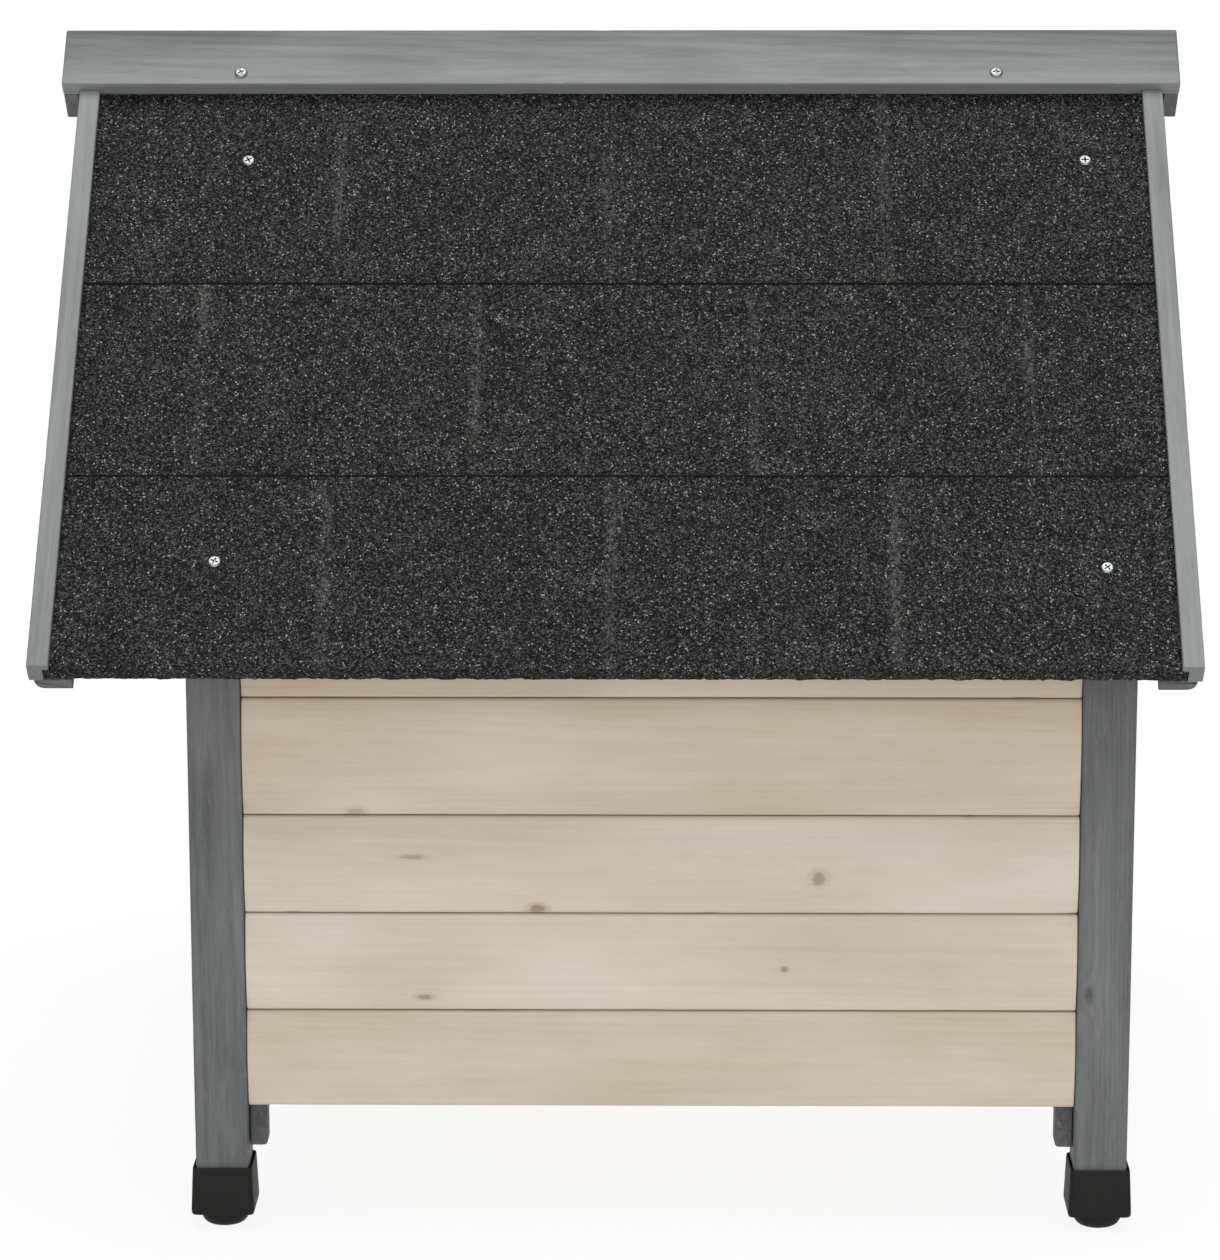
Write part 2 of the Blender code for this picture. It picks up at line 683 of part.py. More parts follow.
def bridged_plate(name, plate, bridges, length, bore):
    """A plate on the door's face with raised bridges that the rod runs through."""
    inside = DOOR_FACE - GAP
    outside = inside - LEAF
    base = block(name, (outside, plate[0], BOLT_HEIGHT - BOLT_PLATE_HALF),
                 (inside, plate[1], BOLT_HEIGHT + BOLT_PLATE_HALF), MATERIALS["zinc"])
    for number, start in enumerate(bridges):
        outline = [(inside - LEAF / 2.0, BOLT_HEIGHT - BRIDGE_RADIUS)]
        for step in range(13):
            angle = math.radians(-90.0 - 15.0 * step)
            outline.append((ROD_X + BRIDGE_RADIUS * math.cos(angle),
                            BOLT_HEIGHT + BRIDGE_RADIUS * math.sin(angle)))
        outline.append((inside - LEAF / 2.0, BOLT_HEIGHT + BRIDGE_RADIUS))
        bridge = prism(f"{name}_bridge_{number}", outline, start, start + length, "Y")
        boolean(base, bridge, "UNION")
    hole = prism(f"{name}_bore", circle(bore, 20, (ROD_X, BOLT_HEIGHT)),
                 plate[0] - 0.002, plate[1] + 0.002, "Y")
    boolean(base, hole, "DIFFERENCE")
    shade_round(base, 30.0)
    return base


def make_bolt(axis):
    """The sliding bolt, drawn back, and the keeper on the jamb that it shoots into."""
    base = bridged_plate("bolt_base", BOLT_PLATE, BOLT_BRIDGES, BRIDGE, ROD_RADIUS + GAP)
    set_origin(base, (HINGE_X, HINGE_Y, DOOR_BOTTOM), axis)
    bridged_plate("bolt_keeper", KEEPER_PLATE, (KEEPER_BRIDGE,), KEEPER_LENGTH, KEEPER_BORE)

    nose = ROD_RADIUS * 0.4
    profile = [(ROD_RADIUS - nose, ROD_DRAWN), (ROD_RADIUS, ROD_DRAWN + nose),
               (ROD_RADIUS, ROD_INNER - nose), (ROD_RADIUS - nose, ROD_INNER)]
    loops = []
    for radius, y in profile:
        ring = circle(radius, 16, (ROD_X, BOLT_HEIGHT))
        loops.append([(x, y, z) for x, z in ring])
    rod = loft("bolt_rod", loops, MATERIALS["zinc"])

    end = BOLT_HEIGHT - KNOB_REACH
    neck = math.sqrt(KNOB_BALL ** 2 - KNOB_RADIUS ** 2)
    loops = [at_height(circle(KNOB_RADIUS, 12, (ROD_X, KNOB_Y)), BOLT_HEIGHT),
             at_height(circle(KNOB_RADIUS, 12, (ROD_X, KNOB_Y)), end + neck)]
    start = math.asin(neck / KNOB_BALL)
    for step in range(1, 6):
        angle = start - (math.pi / 2.0 + start) * step / 6.0
        ring = circle(KNOB_BALL * math.cos(angle), 12, (ROD_X, KNOB_Y))
        loops.append(at_height(ring, end + KNOB_BALL * math.sin(angle)))
    knob = loft("bolt_knob", loops)
    boolean(rod, knob, "UNION")
    shade_round(rod)
    set_origin(rod, (ROD_X, ROD_DRAWN, BOLT_HEIGHT), axis)


remove_everything()
MATERIALS = {
    "grey_wood": make_material("grey_stained_spruce", (128, 132, 130), 0.62),
    "board": make_material("whitewashed_spruce", (203, 190, 175), 0.66),
    "panel": make_material("spruce_plywood", (196, 170, 134), 0.7),
    "felt": make_material("mineral_roofing_felt", (54, 55, 54), 0.9),
    "plastic": make_material("black_polypropylene", (38, 39, 37), 0.5),
    "zinc": make_material("zinc_plated_steel", (176, 180, 182), 0.35, 1.0),
}
make_posts(MATERIALS["grey_wood"])
make_walls(MATERIALS["board"])
make_floor(MATERIALS["grey_wood"], MATERIALS["panel"])
make_roof()
make_door()
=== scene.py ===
"""Rabbit hutch: a small whitewashed timber house under a felted saddle roof, on four posts.

Lengths are metres and +Z is up.  X runs along the ridge and the door is at -X.  Right and left
are as seen by someone who faces the door, so right is -Y.
"""

import math

import bmesh
import bpy
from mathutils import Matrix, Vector, noise


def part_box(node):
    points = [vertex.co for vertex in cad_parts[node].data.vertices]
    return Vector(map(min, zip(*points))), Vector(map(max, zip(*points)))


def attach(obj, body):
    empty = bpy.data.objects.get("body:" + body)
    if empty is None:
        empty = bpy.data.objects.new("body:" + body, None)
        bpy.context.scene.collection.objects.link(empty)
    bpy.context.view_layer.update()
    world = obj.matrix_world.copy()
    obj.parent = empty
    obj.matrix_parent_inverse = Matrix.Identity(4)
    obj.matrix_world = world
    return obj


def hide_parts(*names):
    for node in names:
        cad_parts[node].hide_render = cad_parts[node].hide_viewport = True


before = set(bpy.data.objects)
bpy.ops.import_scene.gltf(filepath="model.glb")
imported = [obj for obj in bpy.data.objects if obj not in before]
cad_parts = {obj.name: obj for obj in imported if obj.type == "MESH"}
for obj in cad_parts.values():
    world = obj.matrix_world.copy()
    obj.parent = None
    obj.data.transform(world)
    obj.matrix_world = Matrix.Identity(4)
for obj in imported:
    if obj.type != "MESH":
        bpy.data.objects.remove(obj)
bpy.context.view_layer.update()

bl_info = {
    "name": "Rabbit Hutch",
    "version": (1, 0, 0),
    "blender": (4, 5, 0),
    "location": "3D Viewport > Sidebar > Hutch",
    "description": "Builds the boards, felt, hardware and finishes of a small timber rabbit hutch",
    "category": "Object",
}

GAP = 0.0003              # clearance between pieces that touch
HANDS = (("right", -1), ("left", 1))
CORNERS = ("front_right", "front_left", "rear_right", "rear_left")

# Roof: slope distances are measured from the line where the two undersides meet
PITCH = math.radians(45.0)
ROOF_APEX = 0.7305
EAVE = 0.4895
FELT_BASE = 0.0093
FELT_TOP = 0.0115
FELT_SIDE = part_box("felt_top_right")[1].x
FELT_FOLD = 0.0022
FELT_LAP = 0.030
FELT_HEAD = 0.0008
FELT_STEP = 0.0009
FELT_RAGGED = 0.0009      # how far a course's ragged lower edge draws back
FELT_FRINGE = 0.0016      # how far the frayed fold stops short of the panel's underside
FELT_SWAY = 0.00035       # how far the laid felt dips between its fixings
SCORE_REACH = 0.0052      # half width of the rubbed strip along a scored line
COURSE_LINES = (0.3406, 0.1852)     # lower edges of the middle and the top course
SLIT_WIDTH = 0.0009
VERGE_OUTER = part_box("verge_strip_rear_right")[1].x
VERGE_WEB = 0.0097
VERGE_LIP = 0.0044
VERGE_DEPTH = 0.0174
VERGE_ARRIS = 0.0011
BATTEN_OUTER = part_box("verge_batten_rear_right")[1].x
BATTEN_WIDTH = 0.024
BATTEN_DEPTH = 0.0096
BATTEN_ROUND = 0.0075
RIDGE_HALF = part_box("ridge_board_right")[1].x
RIDGE_UNDER = 0.0118
RIDGE_OUTER = 0.0238
RIDGE_EDGE = 0.0242
END_PLATE_DROP = 0.024

# Walls
WALL_BOTTOM = 0.0833
BOARD = 0.0656
TALL_BOARD = 0.078
BOARD_CREST = 0.2826
BOARD_BACK = 0.264
BOARD_BULGE = 0.0030
BOARD_ROUND = 0.0028
WALL_THICKNESS = 0.014
FRONT_WALL_FACE = -0.264
REAR_WALL_FACE = 0.3216
GABLE_HALF = 0.2482
POST = 0.035
POST_ARRIS = 0.0022
BEARER_SPAN = 0.0755      # height of the bearers' underside between their end lugs
BEARER_LUG = 0.015
BEARER_ROUND = 0.0035
BEARER_ARRIS = 0.0006

# Feet
CAP_FLOOR = 0.0022        # thickness of a foot cap's bottom
CAP_TAPER = 0.0025        # how much narrower a foot cap is at its rim
STEM_RADIUS = 0.004
STEM_BORE = 0.0047
BORE_TOP = 0.052
GLIDE_FLAT = 0.0100       # radius of the flat that rests on the ground
GLIDE_SHOULDER = 0.0097   # height of a glide's disc

# Door
DOORWAY_HALF = 0.120
DOORWAY_BOTTOM = 0.1489
DOORWAY_TOP = 0.4237
STILE = 0.034
DOOR_THICKNESS = 0.015
REBATE = 0.006
REBATE_DEPTH = 0.004
DOOR_ARRIS = 0.0014
MESH_COLUMNS = 17
MESH_ROWS = 21
HINGE_Y = 0.141
LEAF = 0.0014             # thickness of the hinge leaves and the bolt's plates
METAL_EASE = 0.00025      # easing of the pressed steel's edges
HINGE_SCREW = 0.0027      # radius of the screw heads in the hinges
BOLT_SCREW = 0.0021

# How much darker than usual each stained piece is
POST_TONES = {"front_right": 0.17, "front_left": 0.17, "rear_right": 0.26, "rear_left": 0.17}
# The bearers are painted much darker than the other stained pieces: painted shade for their place
# under the wall
BEARER_PAINTED_SHADE = 0.6
VERGE_TONE = -0.16
BATTEN_TONE = 0.25
# The ridge boards carry painted shade: darkest at the ridge and paler down the slope, for how the
# light falls on them
RIDGE_SHADE_AT_RIDGE = 0.42
RIDGE_SHADE_FADE = 14.0         # painted shade: how fast the ridge boards get paler, per metre from the ridge, for how the light falls across them
END_PLATE_TONE = 0.25
DOOR_TONE = 0.12
STILE_TONE = 0.08


# ---------------------------------------------------------------- settings

def linear(code):
    """Linear colour with full opacity from a six-digit sRGB hex code."""
    channels = []
    for place in (0, 2, 4):
        value = int(code[place:place + 2], 16) / 255.0
        if value <= 0.04045:
            channels.append(value / 12.92)
        else:
            channels.append(((value + 0.055) / 1.055) ** 2.4)
    return (*channels, 1.0)


def colour(name, code, description):
    """A colour setting whose default is a hex code."""
    return bpy.props.FloatVectorProperty(
        name=name, description=description, subtype="COLOR", size=4, min=0.0, max=1.0,
        default=linear(code))


def length(name, default, description):
    """A length setting in metres."""
    return bpy.props.FloatProperty(
        name=name, description=description, default=default, min=0.0, precision=5,
        unit="LENGTH", subtype="DISTANCE")


class HutchTimberSettings(bpy.types.PropertyGroup):
    """Sizes and colours of the boards and the stained framing."""

    wash_colour: colour("Wash", "c8bfb2", "Whitewashed early wood of the wall boards")
    wash_shade: colour("Wash shade", "a9947e", "Late wood that shows through the wash")
    stain_colour: colour("Stain", "767a79", "Grey stain on the early wood of the framing")
    stain_shade: colour("Stain shade", "3f4242", "Grey stain on the late wood")
    raw_colour: colour("Raw wood", "b79c78", "Bare wood where an edge is knocked or cut")
    ring_width: length("Ring width", 0.0026, "Spacing of the growth rings")
    wobble: length("Wobble", 0.00025, "How far a planed face strays inward from flat")
    nick: length("Nick", 0.0009, "Depth of the knocks along the edges")


class HutchRoofSettings(bpy.types.PropertyGroup):
    """Sizes and colours of the roofing felt and the roof panels."""

    slate_dark: colour("Dark slate", "0c0c0c", "Darkest mineral granules")
    slate_light: colour("Light slate", "525250", "Lightest of the common granules")
    fleck: colour("Fleck", "8a8a86", "The few pale granules")
    bitumen: colour("Bitumen", "1c1a17", "Cut edge of the felt")
    ply_colour: colour("Plywood", "c2a47a", "Face veneer of the roof and floor panels")
    granule: length("Granule", 0.0009, "Size of the mineral granules")
    score: length("Score depth", 0.0005, "Depth of the scored tab lines")


class HutchFittingSettings(bpy.types.PropertyGroup):
    """Sizes and colours of the plastic feet and the steel hardware."""

    plastic_colour: colour("Plastic", "0e0f0d", "Black plastic of the feet")
    zinc_colour: colour("Zinc", "8e9294", "Bright zinc plating")
    wire_colour: colour("Wire", "a9aeae", "Galvanised door mesh")
    screw_radius: length("Roof screw radius", 0.0044, "Radius of the roof screw heads")
    wire_radius: length("Wire radius", 0.0006, "Radius of the door's mesh wires")


class HutchStageSettings(bpy.types.PropertyGroup):
    """Floor, light and camera."""

    floor_colour: colour("Floor", "4c4c4c", "Studio floor, which glows as well")
    floor_glow: bpy.props.FloatProperty(
        name="Floor glow", description="Strength of the light table under the hutch",
        default=0.90, min=0.0)
    key_strength: bpy.props.FloatProperty(
        name="Key", description="Strength of the softbox beside the camera", default=1.7, min=0.0)
    key_tilt: bpy.props.FloatProperty(
        name="Key tilt", description="Angle of that softbox from straight above",
        unit="ROTATION", subtype="ANGLE", default=math.radians(76.0))
    top_strength: bpy.props.FloatProperty(
        name="Top", description="Strength of the overhead softbox", default=3.2, min=0.0)
    top_tilt: bpy.props.FloatProperty(
        name="Top tilt", description="Lean of the overhead softbox towards the camera",
        unit="ROTATION", subtype="ANGLE", default=math.radians(6.0))
    light_size: bpy.props.FloatProperty(
        name="Light size", description="Apparent size of both softboxes", unit="ROTATION",
        subtype="ANGLE", default=math.radians(50.0))
    room_strength: bpy.props.FloatProperty(
        name="Room", description="Strength of the light from the white room", default=0.20,
        min=0.0)
    lens: bpy.props.FloatProperty(
        name="Lens", description="Focal length on a 36 mm sensor", unit="CAMERA",
        default=129.57)


# ---------------------------------------------------------------- mesh making

class Stock:
    """Points, faces and per-point fields of one mesh piece while it is being made."""

    def __init__(self):
        self.points = []
        self.faces = []
        self.fields = {}

    def loop(self, points, **fields):
        """Adds points and the fields that they carry, and returns their numbers."""
        first = len(self.points)
        self.points += [tuple(point) for point in points]
        for name, values in fields.items():
            held = self.fields.setdefault(name, {})
            for number, value in enumerate(values):
                held[first + number] = value
        return list(range(first, len(self.points)))

    def skin(self, loops, caps=True, ring=False):
        """Joins loops of equal length by a skin, with a cap on each end or round in a ring."""
        pairs = list(zip(loops, loops[1:]))
        if ring:
            pairs.append((loops[-1], loops[0]))
        elif caps:
            self.faces.append(list(loops[0]))
            self.faces.append(list(loops[-1]))
        count = len(loops[0])
        for lower, upper in pairs:
            for i in range(count):
                j = (i + 1) % count
                self.faces.append([lower[i], lower[j], upper[j], upper[i]])

    def make(self, name, material, body, nodes=(), angle=35.0):
        """Makes the object, rides it on its body and hides the CAD nodes that it stands for."""
        mesh = bpy.data.meshes.new(name)
        mesh.from_pydata(self.points, [], self.faces)
        count = len(self.points)
        for field, held in self.fields.items():
            sample = next(iter(held.values()))
            if isinstance(sample, float):
                layer = mesh.attributes.new(field, "FLOAT", "POINT")
                layer.data.foreach_set("value", [held.get(i, 0.0) for i in range(count)])
            else:
                layer = mesh.attributes.new(field, "FLOAT_VECTOR", "POINT")
                flat = []
                for i in range(count):
                    flat += held.get(i, (0.0, 0.0, 0.0))
                layer.data.foreach_set("vector", flat)
        shape = bmesh.new()
        shape.from_mesh(mesh)
        bmesh.ops.recalc_face_normals(shape, faces=shape.faces)
        shape.to_mesh(mesh)
        shape.free()
        mesh.shade_smooth()
        mesh.set_sharp_from_angle(angle=math.radians(angle))
        mesh.materials.append(material)
        obj = bpy.data.objects.new(name, mesh)
        bpy.context.scene.collection.objects.link(obj)
        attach(obj, body)
        if nodes:
            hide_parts(*nodes)
        return obj


def chance(seed, draw):
    """A repeatable number from 0 to 1 for a piece's seed."""
    return math.modf(abs(math.sin(seed * 12.9898 + draw * 78.233) * 43758.5453))[0]


def slope_point(side, down, out):
    """Y and Z at a distance down the slope and out above the roof's underside."""
    y = side * (down * math.cos(PITCH) + out * math.sin(PITCH))
    z = ROOF_APEX - down * math.sin(PITCH) + out * math.cos(PITCH)
    return y, z


def mitre(out):
    """Slope distance of the vertical plane beside the ridge."""
    return GAP / (2.0 * math.cos(PITCH)) - out * math.tan(PITCH)


def roof_underside(y):
    """Height just under the roof at a given Y."""
    return ROOF_APEX - abs(y) * math.tan(PITCH) - GAP / math.cos(PITCH)


def rectangle(low_across, high_across, low_depth, high_depth):
    """Outline of a rectangular section."""
    return [(low_across, low_depth), (high_across, low_depth),
            (high_across, high_depth), (low_across, high_depth)]


def rounded(outline, radius, steps=3, shoulder=0.0012, radii=None):
    """Section points (across, depth, edge) of an outline whose outward corners are rounded."""
    radii = radii or {}
    area = 0.0
    for (x1, y1), (x2, y2) in zip(outline, outline[1:] + outline[:1]):
        area += x1 * y2 - x2 * y1
    turn = 1.0 if area > 0.0 else -1.0
    section = []
    for i, corner in enumerate(outline):
        here = Vector(corner)
        arriving = (here - Vector(outline[i - 1])).normalized()
        leaving = (Vector(outline[(i + 1) % len(outline)]) - here).normalized()
        bend = turn * (arriving.x * leaving.y - arriving.y * leaving.x)
        size = radii.get(i, radius)
        if bend < 0.1 or size == 0.0:
            section.append((here.x, here.y, 0.0))
            continue
        begin = here - arriving * size
        end = here + leaving * size
        before = begin - arriving * shoulder
        after = end + leaving * shoulder
        section.append((before.x, before.y, 0.0))
        for step in range(steps + 1):
            share = step / steps
            point = (begin * (1.0 - share) ** 2 + here * 2.0 * share * (1.0 - share)
                     + end * share ** 2)
            section.append((point.x, point.y, 1.0))
        section.append((after.x, after.y, 0.0))
    return section


def inward_normals(section):
    """Unit vectors that point into a section from each of its points."""
    area = 0.0
    for first, second in zip(section, section[1:] + section[:1]):
        area += first[0] * second[1] - second[0] * first[1]
    turn = 1.0 if area > 0.0 else -1.0
    normals = []
    for i, point in enumerate(section):
        before = section[i - 1]
        after = section[(i + 1) % len(section)]
        first = Vector((point[0] - before[0], point[1] - before[1])).normalized()
        second = Vector((after[0] - point[0], after[1] - point[1])).normalized()
        along = first + second
        normals.append(Vector((-along.y, along.x)).normalized() * turn)
    return normals


NO_KNOT = (9.0, 9.0, 0.0)     # far from a knot's middle, and of no warmth


def timber(stock, section, start, end, place, seed, knots=(), tone=0.0, step=0.008,
           ease=0.0005, grain=None, lead_in=(), wood=None):
    """Adds one length of wood.

    start and end give the along value of a section point's ends, place turns (along, across,
    depth) into a point, and a knot is (along, across, half length, half height, warmth).
    tone is how much darker than usual the length is, or a function of the across value.
    """
    wood = wood or bpy.context.scene.hutch_timber
    if not callable(tone):
        even = tone

        def tone(across):
            return even

    inward = inward_normals(section)
    first = [start(a, d) for a, d, _ in section]
    last = [end(a, d) for a, d, _ in section]
    pith = (0.03 * (chance(seed, 1) - 0.5), 0.022 + 0.045 * chance(seed, 2))
    tilt = (0.03 * (chance(seed, 3) - 0.5), 0.03 * (chance(seed, 4) - 0.5))
    middle = sum(a for a, _, _ in section) / len(section)
    run = max(b - a for a, b in zip(first, last))
    count = max(3, round(run / step))
    stations = [(0.0, 0.0, ease)]
    for i in range(count + 1):
        stations.append((i / count, 1.0 if i == 0 else -1.0 if i == count else 0.0, 0.0))
    stations.append((1.0, 0.0, ease))
    loops = list(lead_in)
    for share, shift, inset in stations:
        points, grains, edges, cuts = [], [], [], []
        knot_fields = ([], [], [])
        for i, (a, d, edge) in enumerate(section):
            along = first[i] + share * (last[i] - first[i]) + shift * ease
            drift = 0.5 + 0.5 * noise.noise(Vector((along * 11.0, a * 40.0 + seed * 5.0,
                                                    d * 40.0)))
            offset = inset + wood.wobble * drift
            if edge:
                knock = noise.noise(Vector((along * 55.0, seed * 3.1 + a * 9.0, d * 50.0)))
                offset += wood.nick * max(0.0, knock - 0.33)
            across = a + inward[i].x * offset
            depth = d + inward[i].y * offset
            points.append(place(along, across, depth))
            if grain:
                ga, gb, gc = grain(along, across, depth)
            else:
                ga, gb, gc = along, across - middle, depth
            grains.append((ga + seed * 3.7, gb - pith[0] - tilt[0] * ga,
                           gc + pith[1] - tilt[1] * ga))
            edges.append(edge)
            cuts.append(1.0 if inset else 0.0)
            for number, field in enumerate(knot_fields):
                if number < len(knots):
                    x, y, half_length, half_height, warmth = knots[number]
                    field.append(((along - x) / half_length, (across - y) / half_height, warmth))
                else:
                    field.append(NO_KNOT)
        loops.append(stock.loop(points, grain=grains, edge=edges, cut=cuts,
                                tone=[tone(a) for a, _, _ in section], knot_1=knot_fields[0],
                                knot_2=knot_fields[1], knot_3=knot_fields[2]))
    stock.skin(loops)


def circle(radius, count, phase=0.0):
    """Points evenly spaced on a circle about the origin."""
    turns = [phase + 2.0 * math.pi * i / count for i in range(count)]
    return [(radius * math.cos(turn), radius * math.sin(turn)) for turn in turns]


def square_outline(side, radius, steps=5):
    """A square with rounded corners, of 4 x (steps + 1) points."""
    points = []
    reach = side / 2.0 - radius
    for quarter, (x, y) in enumerate(((1, 1), (-1, 1), (-1, -1), (1, -1))):
        for number in range(steps + 1):
            angle = math.pi / 2.0 * (quarter + number / steps)
            points.append((x * reach + radius * math.cos(angle),
                           y * reach + radius * math.sin(angle)))
    return points


def lathe(stock, profile, place, count=32):
    """Adds a turned body: profile holds (radius, height) and place makes the points."""
    loops = []
    for radius, height in profile:
        loops.append(stock.loop([place(u, v, height) for u, v in circle(radius, count)]))
    stock.skin(loops)


def tube(stock, path, radius, count=8):
    """Adds a round wire along a path, with its ends closed."""
    path = [Vector(point) for point in path]
    loops = []
    for i, point in enumerate(path):
        ahead = path[min(i + 1, len(path) - 1)] - path[max(i - 1, 0)]
        ahead.normalize()
        level = Vector((1.0, 0.0, 0.0))
        if abs(ahead.dot(level)) > 0.9:
            level = Vector((0.0, 1.0, 0.0))
        u = ahead.cross(level).normalized()
        v = ahead.cross(u)
        loops.append(stock.loop([point + u * a + v * b for a, b in circle(radius, count)]))
    stock.skin(loops)


def screw(stock, spot, normal, radius, turn, height=0.28):
    """Adds a low domed screw head with a cross recess, standing on a surface at spot."""
    spot = Vector(spot)
    normal = Vector(normal).normalized()
    level = Vector((0.0, 0.0, 1.0)) if abs(normal.z) < 0.9 else Vector((1.0, 0.0, 0.0))
    u = normal.cross(level).normalized()
    v = normal.cross(u)

    def at(x, y, lift):
        return (spot + u * (x * math.cos(turn) - y * math.sin(turn))
                + v * (x * math.sin(turn) + y * math.cos(turn)) + normal * lift)

    top = height * radius
    phase = math.radians(-15.0)
    loops = []
    for share, lift in ((0.90, -0.05), (1.0, 0.05), (0.985, 0.35), (0.90, 0.72), (0.76, 0.93),
                        (0.60, 1.0)):
        ring = circle(share * radius, 24, phase)
        loops.append(stock.loop([at(x, y, lift * top) for x, y in ring]))
    for arm, half, lift in ((0.56, 0.13, 1.0), (0.54, 0.115, 0.85), (0.34, 0.06, -1.2)):
        cross = []
        for quarter in range(4):
            c = math.cos(quarter * math.pi / 2.0) * radius
            s = math.sin(quarter * math.pi / 2.0) * radius
            mid = (arm + half) / 2.0
            for x, y in ((arm, -half), (arm, 0.0), (arm, half), (mid, half), (half, half),
                         (half, mid)):
                cross.append(at(x * c - y * s, x * s + y * c, lift * top))
        loops.append(stock.loop(cross))
    stock.skin(loops)


# ---------------------------------------------------------------- materials

def new_material(name):
    """An empty material and its Principled shader, already joined to the output."""
    material = bpy.data.materials.new(name)
    material.use_nodes = True
    shader = material.node_tree.nodes["Principled BSDF"]
    return material, shader


def node(tree, kind, inputs=None, **settings):
    """Adds a shader node: inputs are values or sockets to link, by name or number."""
    made = tree.nodes.new(f"ShaderNode{kind}")
    for name, value in settings.items():
        setattr(made, name, value)
    for key, value in (inputs or {}).items():
        if isinstance(value, bpy.types.NodeSocket):
            tree.links.new(value, made.inputs[key])
        else:
            made.inputs[key].default_value = value
    return made


def total(tree, *terms):
    """Sum of (socket, factor, offset) terms: factor x (value + offset)."""
    running = 0.0
    for socket, factor, offset in terms:
        shifted = node(tree, "Math", {0: socket, 1: offset}, operation="ADD")
        running = node(tree, "Math", {0: shifted.outputs[0], 1: factor, 2: running},
                       operation="MULTIPLY_ADD").outputs[0]
    return running


